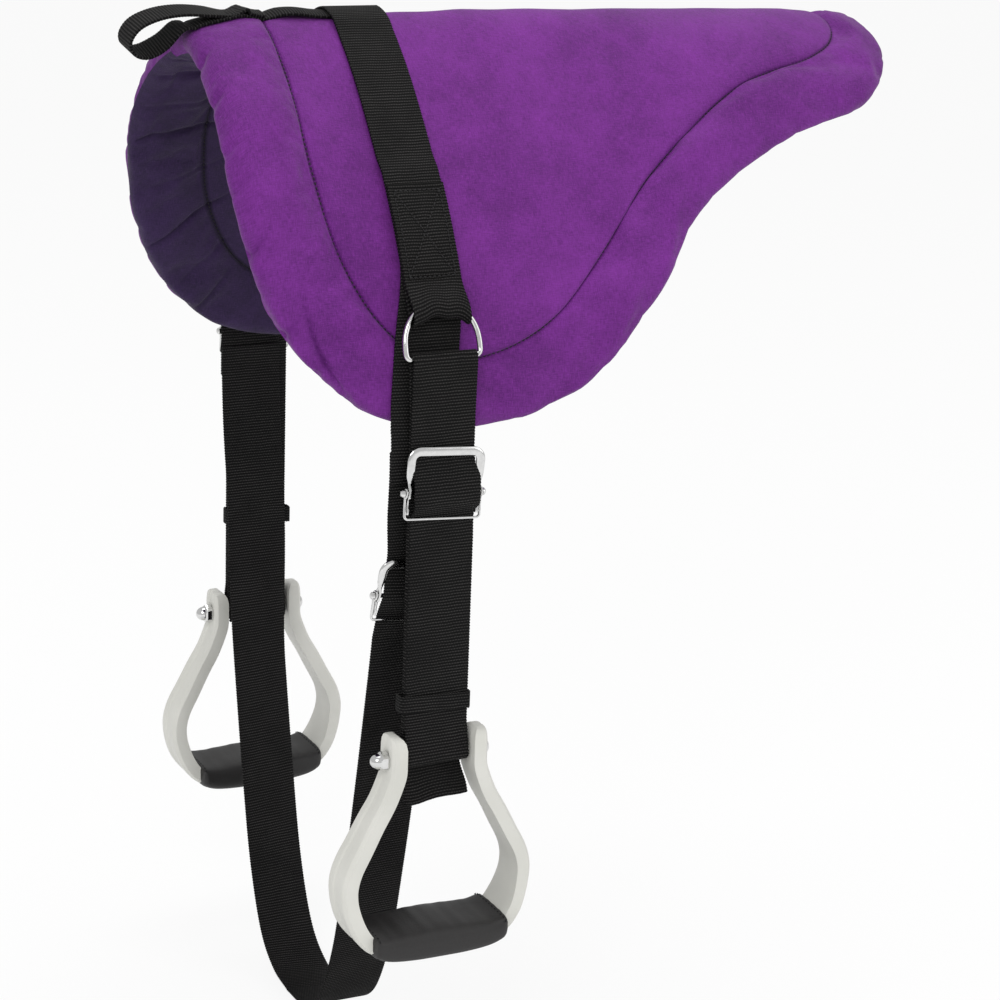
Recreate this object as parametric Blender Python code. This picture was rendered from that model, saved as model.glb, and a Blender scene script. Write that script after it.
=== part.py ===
"""Bareback pad: a padded fabric saddle pad with a grab handle, two stirrups on webbing straps and a girth.

+X runs along the spine to the tail, -Y is the near side, +Z is up. The origin is the underside of the
pad's ridge, in the plane of the stirrup straps. All sizes are in metres.
"""

import math

import bmesh
import bpy
from mathutils import Matrix, Vector

# Clearances between pieces
GAP = 0.0003
LIE_GAP = 0.0009
LAYER_GAP = 0.0005
SMALL_STEP = 0.0005

# Webbing
WEBBING_WIDTH = 0.050
WEBBING_THICKNESS = 0.0020
HANDLE_WIDTH = 0.025
KEEPER_HEIGHT = 0.013
KEEPER_THICKNESS = 0.0015
FOLD_NARROWING = 0.003
# Room beside the webbing in a ring, in a buckle and between a stirrup's arms
RING_SIDE_PLAY = 0.0035
BUCKLE_SIDE_PLAY = 0.0036
ARM_SIDE_PLAY = 0.0075

# Pad outline, laid out flat: x along the spine, t down from the ridge
PAD_FRONT = 0.135
PAD_REAR = 0.447
FLAP_DROP = 0.330
PAD_THICKNESS = 0.018
COVER_THICKNESS = 0.0012
BORDER_CROWN = 0.0020
STITCH_DEPTH = 0.0040
STATIONS_PER_SPAN = 2

# Each pair is (x share, t share); a negative x share counts along PAD_FRONT, a positive one along PAD_REAR
OUTLINE_SHARES = (
    (-0.970, 0.000),
    (-1.000, 0.212),
    (-0.980, 0.475),
    (-0.835, 0.738),
    (-0.465, 0.930),
    (0.045, 1.000),
    (0.240, 0.958),
    (0.400, 0.772),
    (0.520, 0.568),
    (0.712, 0.424),
    (0.888, 0.334),
    (0.976, 0.194),
    (1.000, 0.000),
)
STITCH_SHARES = (
    (-0.533, 0.000),
    (-0.533, 0.212),
    (-0.533, 0.439),
    (-0.452, 0.636),
    (-0.222, 0.788),
    (0.045, 0.848),
    (0.187, 0.803),
    (0.303, 0.664),
    (0.427, 0.485),
    (0.629, 0.294),
    (0.813, 0.206),
    (0.888, 0.121),
    (0.908, 0.000),
)
# Rows from the rim (0) to the stitch line (1), with the height as a share of the crown, or below it
RIM_ROUND_SHARE = 0.05
CROWN_ROW_SHARES = ((0.20, 0.75), (0.55, 1.0))
VALLEY_SIDE_SHARE = 0.88
FIELD_ROW_SHARES = (0.08, 0.22, 0.42, 0.62, 0.78, 0.90, 1.0)

# Slope of the draped pad in degrees, at shares of the flap drop, for its front, middle and rear
FRONT_SLOPE_SHARES = ((0.0, 4), (0.09, 20), (0.24, 40), (0.36, 58), (0.48, 72), (0.67, 82), (1.0, 86))
MIDDLE_SLOPE_SHARES = (
    (0.0, 6),
    (0.045, 26),
    (0.106, 42),
    (0.242, 50),
    (0.424, 55),
    (0.636, 64.5),
    (0.82, 79),
    (1.0, 90),
)
REAR_SLOPE_SHARES = ((0.0, 4), (0.09, 24), (0.21, 42), (0.36, 52), (0.61, 60), (1.0, 70))
SLOPE_STEPS = 120
FRONT_BLEND_SHARES = (-1.10, -0.15)
REAR_BLEND_SHARES = (0.27, 0.72)
RIDGE_RISE = 0.018
# Height of the ridge as a share of RIDGE_RISE, at shares of the pad's front and rear lengths
RIDGE_SHARES = (
    (-1.20, -0.35),
    (-1.00, 0.00),
    (-0.87, 0.50),
    (-0.67, 0.83),
    (-0.55, 0.97),
    (-0.33, 0.90),
    (-0.16, 0.89),
    (0.06, 0.89),
    (0.20, 0.98),
    (0.45, 0.92),
    (0.67, 0.81),
    (0.83, 0.74),
    (0.92, 0.56),
    (1.00, 0.00),
)

# Rigging strap and the folded loops that hold the rings
LOOP_LEVEL = 0.2436
DOUBLING_TOP = 0.155
SEAM_ABOVE_LOOP = 0.020
STEP_LENGTH = 0.016
STRAP_ROW_SPACING = 0.011
LOOP_SEGMENTS = 6
BILLET_TOP = 0.150
BILLET_END = 0.032
BILLET_ROW_SPACING = 0.016
BILLET_SLANT_LENGTH = 0.110

# D-rings
RING_HALF_WIDTH = WEBBING_WIDTH / 2 + RING_SIDE_PLAY
RING_WIRE_RADIUS = 0.0020
RING_LEG = 0.010
RING_CORNER = 0.004
RING_PIVOT_DROP = 0.0052
RING_SWING = 20
RING_ARC_STEPS = 16

# Stirrup straps
BUCKLE_BELOW_FLAP = 0.0389
BOLT_BELOW_BUCKLE = 0.1972
KEEPER_ABOVE_BOLT = 0.0405
# Each side's strap has its own adjustment, which sets its buckle, its keeper and its tail
ADJUSTMENT = {-1: 0.0, 1: 0.041}
TAIL_LENGTH = {-1: 0.038, 1: 0.006}
TAIL_SWAY_SHARE = 0.13
KEEPER_SLACK = 0.0045
FLAP_CLEARANCE = 0.0010
STRAP_SPREAD = 0.024

# Web buckles
BUCKLE_LEG_OFFSET = WEBBING_WIDTH / 2 + BUCKLE_SIDE_PLAY
BUCKLE_TOP = 0.0296
BUCKLE_LOWER = 0.0183
BUCKLE_CORNER = 0.006
BUCKLE_STEM = 0.015
BUCKLE_BAR_HALF = 0.0029
BUCKLE_BAR_DEPTH = 0.0026
LEG_PLATE_HALF = 0.0013
EYE_HALF = 0.0034
STEM_HALF = 0.0016
CROSSBAR_RADIUS = 0.0018
KNOB_RADIUS = 0.0028
KNOB_LENGTH = 0.0025
LOOP_WIRE_RADIUS = 0.0011
LOOP_PLATE_HALF = 0.0008
LOOP_EYE_HALF = 0.0032
PLATE_TOP = 0.008

# Stirrups, measured from the bolt
ARM_OFFSET = WEBBING_WIDTH / 2 + ARM_SIDE_PLAY
ARM_TOP = 0.0190
ARM_THICKNESS = 0.0115
ARM_DEPTH = 0.024
BELL_DEPTH = 0.029
BAR_DEPTH = 0.038
STIRRUP_DROP = 0.145
ARM_SHARES = (
    (0.442, 0.00),
    (0.446, -0.06),
    (0.480, -0.12),
    (0.562, -0.22),
    (0.676, -0.32),
    (0.819, -0.44),
    (0.930, -0.53),
    (0.985, -0.60),
    (1.000, -0.67),
    (0.964, -0.76),
    (0.877, -0.85),
    (0.740, -0.93),
    (0.560, -0.975),
    (0.300, -0.995),
    (0.000, -1.00),
)
STIRRUP_HALF_WIDTH = ARM_OFFSET / ARM_SHARES[0][0]
ARM_TOP_SHARES = ((1.0, 0.45), (0.95, 0.80), (0.72, 0.95), (0.40, 1.0))
TREAD_HALF_LENGTH_SHARE = 0.75
TREAD_DEPTH = 0.052
TREAD_PAD = 0.0105
TREAD_SOLE = 0.003
BOLT_RADIUS = 0.0039
BOLT_HEAD_RADIUS = 0.0070
BOLT_HEAD_HEIGHT = 0.0050
SLEEVE_RADIUS = 0.0050
NUT_FLATS = 0.0130
NUT_HEX_HEIGHT = 0.0060
NUT_DOME_HEIGHT = 0.0065
NUT_WALL = 0.0020

# Girth
GIRTH_SHIFT = -0.008
GIRTH_BOTTOM = -0.757
# Sway of both legs towards the front and twist of the off leg, each over a stretch below the girth's top
GIRTH_SWAY = -0.006
GIRTH_SWAY_REACH = {-1: (0.020, 0.074), 1: (0.100, 0.260)}
GIRTH_TWIST = 12
GIRTH_TWIST_REACH = (0.150, 0.260)
GIRTH_TOP_BELOW_FLAP = 0.009
GIRTH_BUCKLE_BELOW_FLAP = 0.1186
GIRTH_SHARES = (
    (1.000, 0.00),
    (1.000, 0.05),
    (0.975, 0.14),
    (0.920, 0.24),
    (0.840, 0.38),
    (0.745, 0.54),
    (0.640, 0.70),
    (0.530, 0.84),
    (0.380, 0.945),
    (0.200, 0.990),
    (0.000, 1.00),
)
GIRTH_STEPS_PER_SPAN = 2

# Grab handle, measured from the pad's front and its ridge
HANDLE_TAIL = 0.018
HANDLE_TACK_SHARE = 0.55
HANDLE_LEAVES_SHARE = 0.90
HANDLE_REACH = 0.051
HANDLE_HEIGHT = 0.016
HANDLE_SHARES = (
    (0.18, -0.10),
    (0.42, -0.72),
    (0.70, -1.12),
    (0.90, -1.10),
    (1.00, -0.80),
    (0.96, -0.34),
    (0.78, 0.16),
    (0.45, 0.58),
    (0.06, 0.84),
    (-0.30, 0.84),
    (-0.65, 0.70),
)
HANDLE_ROW_SPACING = 0.012

ROUND_SIDES = 12
SIDES = (("near", -1), ("off", 1))


def smooth_step(value):
    value = min(max(value, 0.0), 1.0)
    return value * value * (3 - 2 * value)


def interpolate(table, position):
    """The value at a position of a table of (position, value) pairs."""
    if position <= table[0][0]:
        return table[0][1]
    for (x0, y0), (x1, y1) in zip(table, table[1:]):
        if position <= x1:
            return y0 + (y1 - y0) * (position - x0) / (x1 - x0)
    return table[-1][1]


def smooth_curve(points, per_span):
    """Points along a Catmull-Rom curve through the given ones, per_span to each gap."""
    points = [Vector(p) for p in points]
    ends = [2 * points[0] - points[1], *points, 2 * points[-1] - points[-2]]
    curve = []
    for p0, p1, p2, p3 in zip(ends, ends[1:], ends[2:], ends[3:]):
        for step in range(per_span):
            s = step / per_span
            bend = 2 * p0 - 5 * p1 + 4 * p2 - p3
            twist = 3 * p1 - p0 - 3 * p2 + p3
            curve.append(p1 + 0.5 * s * ((p2 - p0) + s * (bend + s * twist)))
    curve.append(points[-1])
    return curve


def make_material(name, colour, roughness, metallic=0.0):
    material = bpy.data.materials.new(name)
    material.use_nodes = True
    shader = material.node_tree.nodes["Principled BSDF"]
    shader.inputs["Base Color"].default_value = (*colour, 1.0)
    shader.inputs["Roughness"].default_value = roughness
    shader.inputs["Metallic"].default_value = metallic
    return material


def make_axis(name, place, parent=None):
    """An empty on a joint's axis, which carries the pieces that turn or slide there."""
    axis = bpy.data.objects.new(name, None)
    bpy.context.scene.collection.objects.link(axis)
    axis.parent = parent
    axis.location = Vector(place) - (Vector(parent["place"]) if parent else Vector())
    axis["place"] = tuple(place)
    return axis


def finish_mesh(name, bm, material, axis=None, smooth=False):
    """Turns a bmesh into a named object whose origin is on its axis."""
    loose = [v for v in bm.verts if not v.link_faces]
    bmesh.ops.delete(bm, geom=loose, context="VERTS")
    mesh = bpy.data.meshes.new(name)
    bm.to_mesh(mesh)
    bm.free()
    mesh.materials.append(material)
    if smooth:
        mesh.shade_smooth()
        mesh.set_sharp_from_angle(angle=math.radians(40))
    piece = bpy.data.objects.new(name, mesh)
    bpy.context.scene.collection.objects.link(piece)
    if axis is not None:
        mesh.transform(Matrix.Translation(-Vector(axis["place"])))
        piece.parent = axis
    return piece


def build_faces(points, faces):
    bm = bmesh.new()
    corners = [bm.verts.new(p) for p in points]
    for face in faces:
        bm.faces.new([corners[i] for i in face])
    return bm


def loft(rings, closed=False):
    """A solid skinned over rings of equal length, capped at its two ends unless closed on itself."""
    count = len(rings[0])
    points = [p for ring in rings for p in ring]
    faces = []
    spans = len(rings) if closed else len(rings) - 1
    for r in range(spans):
        a, b = r * count, (r + 1) % len(rings) * count
        for i in range(count):
            j = (i + 1) % count
            faces.append((a + i, a + j, b + j, b + i))
    if not closed:
        faces.append(tuple(range(count)))
        faces.append(tuple(range(len(points) - count, len(points))))
    bm = build_faces(points, faces)
    bmesh.ops.recalc_face_normals(bm, faces=bm.faces)
    return bm


def webbing(name, rows, thickness, material, axis=None, closed=False):
    """A strap: rows of points across its width make its mid-surface, and Solidify gives the thickness."""
    across = len(rows[0])
    points = [p for row in rows for p in row]
    spans = len(rows) if closed else len(rows) - 1
    faces = []
    for r in range(spans):
        a, b = r * across, (r + 1) % len(rows) * across
        for i in range(across - 1):
            faces.append((a + i, a + i + 1, b + i + 1, b + i))
    bm = build_faces(points, faces)
    bmesh.ops.triangulate(bm, faces=bm.faces, quad_method="FIXED")
    strap = finish_mesh(name, bm, material, axis)
    solid = strap.modifiers.new("Thickness", "SOLIDIFY")
    solid.thickness = thickness
    solid.offset = 0.0
    solid.use_even_offset = True
    return strap


def cut_round_hole(piece, centre, radius, length, direction="X"):
    """Cuts a round hole along X or Z through a piece with an exact Boolean."""
    cutter_mesh = bpy.data.meshes.new(piece.name + "_hole")
    bm = bmesh.new()
    turn = Matrix.Rotation(math.pi / 2, 4, "Y") if direction == "X" else Matrix.Identity(4)
    bmesh.ops.create_cone(
        bm,
        cap_ends=True,
        segments=ROUND_SIDES,
        radius1=radius,
        radius2=radius,
        depth=length,
        matrix=Matrix.Translation(centre) @ turn,
    )
    bm.to_mesh(cutter_mesh)
    bm.free()
    cutter = bpy.data.objects.new(piece.name + "_hole", cutter_mesh)
    bpy.context.scene.collection.objects.link(cutter)
    cutter.hide_render = True
    cutter.display_type = "WIRE"
    if piece.parent is not None:
        cutter_mesh.transform(Matrix.Translation(-Vector(piece.parent["place"])))
        cutter.parent = piece.parent
    cut = piece.modifiers.new("Hole", "BOOLEAN")
    cut.operation = "DIFFERENCE"
    cut.solver = "EXACT"
    cut.object = cutter


def turned(name, profile, place, material, axis, flip=1):
    """A turned piece: a profile of (radius, distance) pairs screwed about an axis that lies along X."""
    bm = bmesh.new()
    corners = [bm.verts.new((radius, 0.0, along)) for radius, along in profile]
    for a, b in zip(corners, corners[1:]):
        bm.edges.new((a, b))
    mesh = bpy.data.meshes.new(name)
    bm.to_mesh(mesh)
    bm.free()
    mesh.materials.append(material)
    piece = bpy.data.objects.new(name, mesh)
    bpy.context.scene.collection.objects.link(piece)
    piece.rotation_euler = (0.0, flip * math.pi / 2, 0.0)
    piece.parent = axis
    piece.location = Vector(place) - Vector(axis["place"])
    screw = piece.modifiers.new("Turn", "SCREW")
    screw.axis = "Z"
    screw.steps = ROUND_SIDES
    screw.render_steps = ROUND_SIDES
    screw.use_merge_vertices = True
    screw.merge_threshold = 0.00001
    screw.use_smooth_shade = False
    return piece


# The draped shape of the pad


def slope_profile(slope_shares):
    """Sideways reach and fall at equal steps down the flap, from its slope."""
    step = FLAP_DROP / SLOPE_STEPS
    reach, fall, profile = 0.0, 0.0, [(0.0, 0.0)]
    for i in range(int(SLOPE_STEPS * 1.15)):
        angle = math.radians(interpolate(slope_shares, (i + 0.5) / SLOPE_STEPS))
        reach += step * math.cos(angle)
        fall += step * math.sin(angle)
        profile.append((reach, fall))
    return profile


FRONT_PROFILE = slope_profile(FRONT_SLOPE_SHARES)
MIDDLE_PROFILE = slope_profile(MIDDLE_SLOPE_SHARES)
REAR_PROFILE = slope_profile(REAR_SLOPE_SHARES)


def along_pad(share):
    return share * (PAD_FRONT if share < 0 else PAD_REAR)


def pad_share(x):
    return x / (PAD_FRONT if x < 0 else PAD_REAR)


def profile_at(profile, t):
    """The sideways reach and the fall of a profile at a distance down from the ridge."""
    position = abs(t) / FLAP_DROP * SLOPE_STEPS
    index = min(int(position), len(profile) - 2)
    (y0, z0), (y1, z1) = profile[index], profile[index + 1]
    part = position - index
    return y0 + (y1 - y0) * part, z0 + (z1 - z0) * part


def draped(x, t):
    """The point of the pad's outer face above x on the spine and t down from the ridge."""
    share = pad_share(x)
    start, end = FRONT_BLEND_SHARES
    front = 1 - smooth_step((share - start) / (end - start))
    start, end = REAR_BLEND_SHARES
    rear = smooth_step((share - start) / (end - start))
    weights = (front, (1 - front) * (1 - rear), (1 - front) * rear)
    reach = fall = 0.0
    for weight, profile in zip(weights, (FRONT_PROFILE, MIDDLE_PROFILE, REAR_PROFILE)):
        y, z = profile_at(profile, t)
        reach += weight * y
        fall += weight * z
    rise = RIDGE_RISE * interpolate(RIDGE_SHARES, share)
    return Vector((x, math.copysign(reach, t), rise - fall))


def pad_normal(x, t):
    along = draped(x + SMALL_STEP, t) - draped(x - SMALL_STEP, t)
    across = draped(x, t + SMALL_STEP) - draped(x, t - SMALL_STEP)
    return along.cross(across).normalized()


def on_pad(x, t, height):
    """A point a given height above the pad's outer face."""
    return draped(x, t) + height * pad_normal(x, t)


# Pad layers


def pad_heights():
    """Rows from the rim inwards: (share of the way to the stitch line or spine, height, in the field)."""
    half = PAD_THICKNESS / 2
    rows = [(0.0, GAP / 2 - half, False)]
    rows.append((RIM_ROUND_SHARE, -half / 3, False))
    rows += [(share, BORDER_CROWN * crown, False) for share, crown in CROWN_ROW_SHARES]
    rows.append((VALLEY_SIDE_SHARE, -STITCH_DEPTH / 2, False))
    rows.append((1.0, -STITCH_DEPTH, False))
    for index, share in enumerate(FIELD_ROW_SHARES):
        rows.append((share, -STITCH_DEPTH / 4 if index == 0 else 0.0, True))
    return rows


def pad_face(under=False):
    """The outer or the under face of the pad: its points, triangles, rim and the pad's normals there."""
    outline = smooth_curve(
        [(along_pad(x), t * FLAP_DROP) for x, t in OUTLINE_SHARES], STATIONS_PER_SPAN
    )
    stitch = smooth_curve(
        [(along_pad(x), t * FLAP_DROP) for x, t in STITCH_SHARES], STATIONS_PER_SPAN
    )
    last = len(outline) - 1
    front, rear = stitch[0].x, stitch[-1].x
    spine = [Vector((front + (rear - front) * (0.15 + 0.7 * i / last), 0.0)) for i in range(last + 1)]
    rows = pad_heights()
    points, rings, central, lifts = [], [], set(), {}
    for share, height, field in rows:
        if under:
            height = -PAD_THICKNESS - height
        ring = {}
        for i in range(last + 1):
            start, end = (stitch[i], spine[i]) if field else (outline[i], stitch[i])
            flat = start.lerp(end, share)
            on_spine = field and share == 1.0
            for side in (-1, 1):
                if (i in (0, last) or on_spine) and side == 1:
                    ring[i, side] = ring[i, -1]
                    continue
                t = 0.0 if i in (0, last) or on_spine else side * flat.y
                ring[i, side] = len(points)
                if t == 0.0:
                    central.add(len(points))
                if not rings:
                    lifts[len(points)] = pad_normal(flat.x, t)
                points.append(on_pad(flat.x, t, height))
        rings.append(ring)
    triangles = []
    for outer, inner in zip(rings, rings[1:]):
        for i in range(last):
            for side in (-1, 1):
                a, b = outer[i, side], outer[i + 1, side]
                c, d = inner[i + 1, side], inner[i, side]
                quad = (a, b, c, d) if side == -1 else (a, d, c, b)
                if under:
                    quad = (quad[0], quad[3], quad[2], quad[1])
                for corners in (quad[:3], (quad[0], quad[2], quad[3])):
                    if len(set(corners)) == 3 and not central.issuperset(corners):
                        triangles.append(corners)
    rim = [rings[0][i, -1] for i in range(last + 1)]
    rim += [rings[0][i, 1] for i in range(last - 1, 0, -1)]
    return points, triangles, rim, lifts


def sink(points, triangles, lifts, depth):
    """The same points moved in along the face's normals; those of the rim stay at their height."""
    bm = build_faces(points, triangles)
    bm.normal_update()
    sunk = []
    for index, v in enumerate(bm.verts):
        inwards = -v.normal
        if index in lifts:
            inwards -= inwards.project(lifts[index])
            inwards /= inwards.length_squared
        sunk.append(v.co + depth * inwards)
    bm.free()
    return sunk


def pad_skin(name, under, material):
    """A fabric layer: one face of the pad and its copy a cloth's thickness in, joined along the seam."""
    points, triangles, rim, lifts = pad_face(under)
    count = len(points)
    inner = sink(points, triangles, lifts, COVER_THICKNESS)
    faces = list(triangles)
    faces += [(c + count, b + count, a + count) for a, b, c in triangles]
    for a, b in zip(rim, rim[1:] + rim[:1]):
        faces.append((a, b, b + count, a + count))
    bm = build_faces(points + inner, faces)
    bmesh.ops.recalc_face_normals(bm, faces=bm.faces)
    return finish_mesh(name, bm, material, smooth=True)


def foam_core(material):
    """The foam between the two fabric layers, its two faces meeting in one ring inside the rim."""
    depth = COVER_THICKNESS + 1.5 * GAP
    top, triangles, rim, lifts = pad_face()
    top = sink(top, triangles, lifts, depth)
    bottom, under_triangles, under_rim, lifts = pad_face(True)
    bottom = sink(bottom, under_triangles, lifts, depth)
    count = len(top)
    shared = dict(zip(under_rim, rim))
    for a, b in zip(rim, under_rim):
        top[a] = (top[a] + bottom[b]) / 2
    faces = list(triangles)
    for triangle in under_triangles:
        faces.append(tuple(shared.get(i, i + count) for i in triangle))
    bm = build_faces(top + bottom, faces)
    bmesh.ops.recalc_face_normals(bm, faces=bm.faces)
    return finish_mesh("foam_core", bm, material, smooth=True)


# Straps sewn to the pad

FLAT_HEIGHT = LIE_GAP + WEBBING_THICKNESS / 2
LAYER_PITCH = WEBBING_THICKNESS + LAYER_GAP
RAISED_HEIGHT = FLAT_HEIGHT + LAYER_PITCH
DOUBLED_HEIGHT = RAISED_HEIGHT + LAYER_PITCH
LOOP_HALF_WIDTH = WEBBING_WIDTH / 2 - FOLD_NARROWING
RING_PLAY = RING_PIVOT_DROP * math.sin(math.radians(RING_SWING / 2))
LOOP_INNER_RADIUS = RING_WIRE_RADIUS + RING_PLAY + 2 * LAYER_GAP
LOOP_RADIUS = LOOP_INNER_RADIUS + WEBBING_THICKNESS / 2
RING_HEIGHT = RAISED_HEIGHT + LOOP_RADIUS + RING_PLAY
RING_TOP_LEVEL = LOOP_LEVEL - RING_PIVOT_DROP


def ring_drop(u):
    """How far the ring's round top lies below its highest point, u to the side of its middle."""
    return RING_HALF_WIDTH - math.sqrt(RING_HALF_WIDTH**2 - u**2)


def strap_height(t):
    """Height of the rigging strap's main layer: it climbs over the handle's tail and the billet's end."""
    over_handle = 1 - smooth_step((t - HANDLE_WIDTH / 2 - STRAP_ROW_SPACING) / STEP_LENGTH)
    over_billet = smooth_step((t - BILLET_TOP + STEP_LENGTH + STRAP_ROW_SPACING) / STEP_LENGTH)
    return FLAT_HEIGHT + LAYER_PITCH * max(over_handle, over_billet)


def rigging_half(share):
    """(t, height, half width) down one side for a column at a share of the half width, round the loop."""
    seam = LOOP_LEVEL - SEAM_ABOVE_LOOP
    wide = WEBBING_WIDTH / 2
    rows = []
    count = round(seam / STRAP_ROW_SPACING)
    for i in range(count + 1):
        t = seam * i / count
        rows.append((t, strap_height(t), wide))
    u = share * LOOP_HALF_WIDTH
    drop = ring_drop(u)
    side_share = (u / LOOP_HALF_WIDTH) ** 2
    centre_t = RING_TOP_LEVEL + drop - RING_PLAY / 2 + RING_PLAY * side_share
    lean = math.sin(math.radians(RING_SWING / 2))
    centre_h = RING_HEIGHT + (drop - RING_PIVOT_DROP) * lean
    for i in range(LOOP_SEGMENTS + 1):
        turn = math.pi * i / LOOP_SEGMENTS
        t = centre_t + LOOP_RADIUS * math.sin(turn)
        rows.append((t, centre_h - LOOP_RADIUS * math.cos(turn), LOOP_HALF_WIDTH))
    count = round((seam - DOUBLING_TOP) / STRAP_ROW_SPACING)
    for i in range(count + 1):
        rows.append((seam + (DOUBLING_TOP - seam) * i / count, DOUBLED_HEIGHT, wide))
    return rows


def rigging_strap(material):
    """One strap over the pad, folded up at each end round a D-ring and sewn down on itself."""
    columns = []
    for share in (-1.0, -0.5, 0.0, 0.5, 1.0):
        half = rigging_half(share)
        near = [on_pad(share * wide, -t, height) for t, height, wide in reversed(half)]
        off = [on_pad(share * wide, t, height) for t, height, wide in half[1:]]
        columns.append(near + off)
    rows = list(zip(*columns))
    return webbing("rigging_strap", rows, WEBBING_THICKNESS, material)


def flap_edge_height(t):
    """Height of a billet's mid-surface where it bridges the stitch line and rides over the rim."""
    stitch_t = STITCH_SHARES[5][1] * FLAP_DROP
    climb = smooth_step((t - stitch_t + STEP_LENGTH) / (2 * STEP_LENGTH))
    return FLAT_HEIGHT + BORDER_CROWN * climb


def billet_lie(side, offset):
    """Points of a billet's mid-surface, offset from its middle, down the pad to where it hangs plumb."""
    border = FLAP_DROP * (OUTLINE_SHARES[5][1] - STITCH_SHARES[5][1])
    last_t = FLAP_DROP * OUTLINE_SHARES[5][1] - 2 * RIM_ROUND_SHARE * border
    count = round((last_t - BILLET_TOP) / BILLET_ROW_SPACING)
    points = []
    for i in range(count + 1):
        t = BILLET_TOP + (last_t - BILLET_TOP) * i / count
        slant = smooth_step((t - BILLET_TOP) / BILLET_SLANT_LENGTH)
        points.append(on_pad(GIRTH_SHIFT * slant + offset, side * t, flap_edge_height(t)))
    return points


def billet(name, side, material):
    """The webbing end sewn under the rigging strap, which carries the girth past the flap's edge."""
    columns = [billet_lie(side, offset) for offset in (-WEBBING_WIDTH / 2, 0.0, WEBBING_WIDTH / 2)]
    rows = list(zip(*columns))
    for level in (FLAP_BOTTOM, FLAP_BOTTOM - BILLET_END / 2, FLAP_BOTTOM - BILLET_END):
        rows.append(tuple(Vector((p.x, side * BILLET_PLANE, level)) for p in rows[-1]))
    return webbing(name, rows, WEBBING_THICKNESS, material)


def lowest_rim():
    x = along_pad(OUTLINE_SHARES[5][0])
    return on_pad(x, OUTLINE_SHARES[5][1] * FLAP_DROP, -PAD_THICKNESS / 2)


FLAP_BOTTOM = lowest_rim().z
BILLET_PLANE = max(abs(p.y) for p in billet_lie(1, WEBBING_WIDTH / 2))
REAR_LAYER_PLANE = BILLET_PLANE + WEBBING_THICKNESS + FLAP_CLEARANCE
BUCKLE_LEVEL = FLAP_BOTTOM - BUCKLE_BELOW_FLAP
BOLT_LEVEL = BUCKLE_LEVEL - BOLT_BELOW_BUCKLE
KEEPER_LEVEL = BOLT_LEVEL + KEEPER_ABOVE_BOLT
GIRTH_BUCKLE_LEVEL = FLAP_BOTTOM - GIRTH_BUCKLE_BELOW_FLAP


# Rings


def ring_place(side):
    """The point on the ring's swing axis, with the directions down the flap and out from it."""
    out = pad_normal(0.0, side * LOOP_LEVEL)
    down = draped(0.0, side * (LOOP_LEVEL + SMALL_STEP)) - draped(0.0, side * (LOOP_LEVEL - SMALL_STEP))
    return on_pad(0.0, side * LOOP_LEVEL, RING_HEIGHT), down.normalized(), out


def ring_bar_place(side):
    pivot, down, _ = ring_place(side)
    return pivot + down * (RING_HALF_WIDTH + RING_LEG - RING_PIVOT_DROP)


def d_ring(name, side, material, axis):
    """A welded D-ring: a half circle on top, two short legs and a straight bar, as one bevelled curve."""
    pivot, down, _ = ring_place(side)
    flat = []
    for i in range(RING_ARC_STEPS + 1):
        turn = math.pi * i / RING_ARC_STEPS
        flat.append((-RING_HALF_WIDTH * math.cos(turn), RING_HALF_WIDTH * (1 - math.sin(turn))))
    bar = RING_HALF_WIDTH + RING_LEG
    for corner, start in ((1, 0), (-1, 1)):
        for i in range(4):
            turn = math.pi / 2 * (start + i / 3)
            u = corner * (RING_HALF_WIDTH - RING_CORNER) + RING_CORNER * math.cos(turn)
            flat.append((u, bar - RING_CORNER + RING_CORNER * math.sin(turn)))
    curve = bpy.data.curves.new(name, "CURVE")
    curve.dimensions = "3D"
    curve.bevel_depth = RING_WIRE_RADIUS
    curve.bevel_resolution = 2
    curve.materials.append(material)
    spline = curve.splines.new("POLY")
    spline.points.add(len(flat) - 1)
    spline.use_cyclic_u = True
    place = Vector(axis["place"])
    for point, (u, s) in zip(spline.points, flat):
        point.co = (*(pivot + Vector((u, 0.0, 0.0)) + down * (s - RING_PIVOT_DROP) - place), 1.0)
    ring = bpy.data.objects.new(name, curve)
    bpy.context.scene.collection.objects.link(ring)
    ring.parent = axis
    return ring


# Stirrup straps

STRAP_PITCH = WEBBING_THICKNESS + LAYER_GAP
BAR_WRAP_RADIUS = RING_WIRE_RADIUS + GAP + WEBBING_THICKNESS / 2
CROSSBAR_OUT = STRAP_PITCH + WEBBING_THICKNESS / 2 + GAP + CROSSBAR_RADIUS
HOOK_RADIUS = CROSSBAR_RADIUS + GAP + WEBBING_THICKNESS / 2
TOP_BAR_OUT = STRAP_PITCH + WEBBING_THICKNESS / 2 + GAP + BUCKLE_BAR_DEPTH
LOWER_WIRE_OUT = 2 * STRAP_PITCH + WEBBING_THICKNESS / 2 + GAP + LOOP_WIRE_RADIUS
BOLT_WRAP_RADIUS = SLEEVE_RADIUS + GAP + WEBBING_THICKNESS / 2
BOLT_OUT = 1.5 * STRAP_PITCH + LAYER_GAP
REAR_AT_BOLT = BOLT_OUT - BOLT_WRAP_RADIUS - STRAP_PITCH
STIRRUP_PLANE = REAR_LAYER_PLANE + BOLT_OUT


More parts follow.
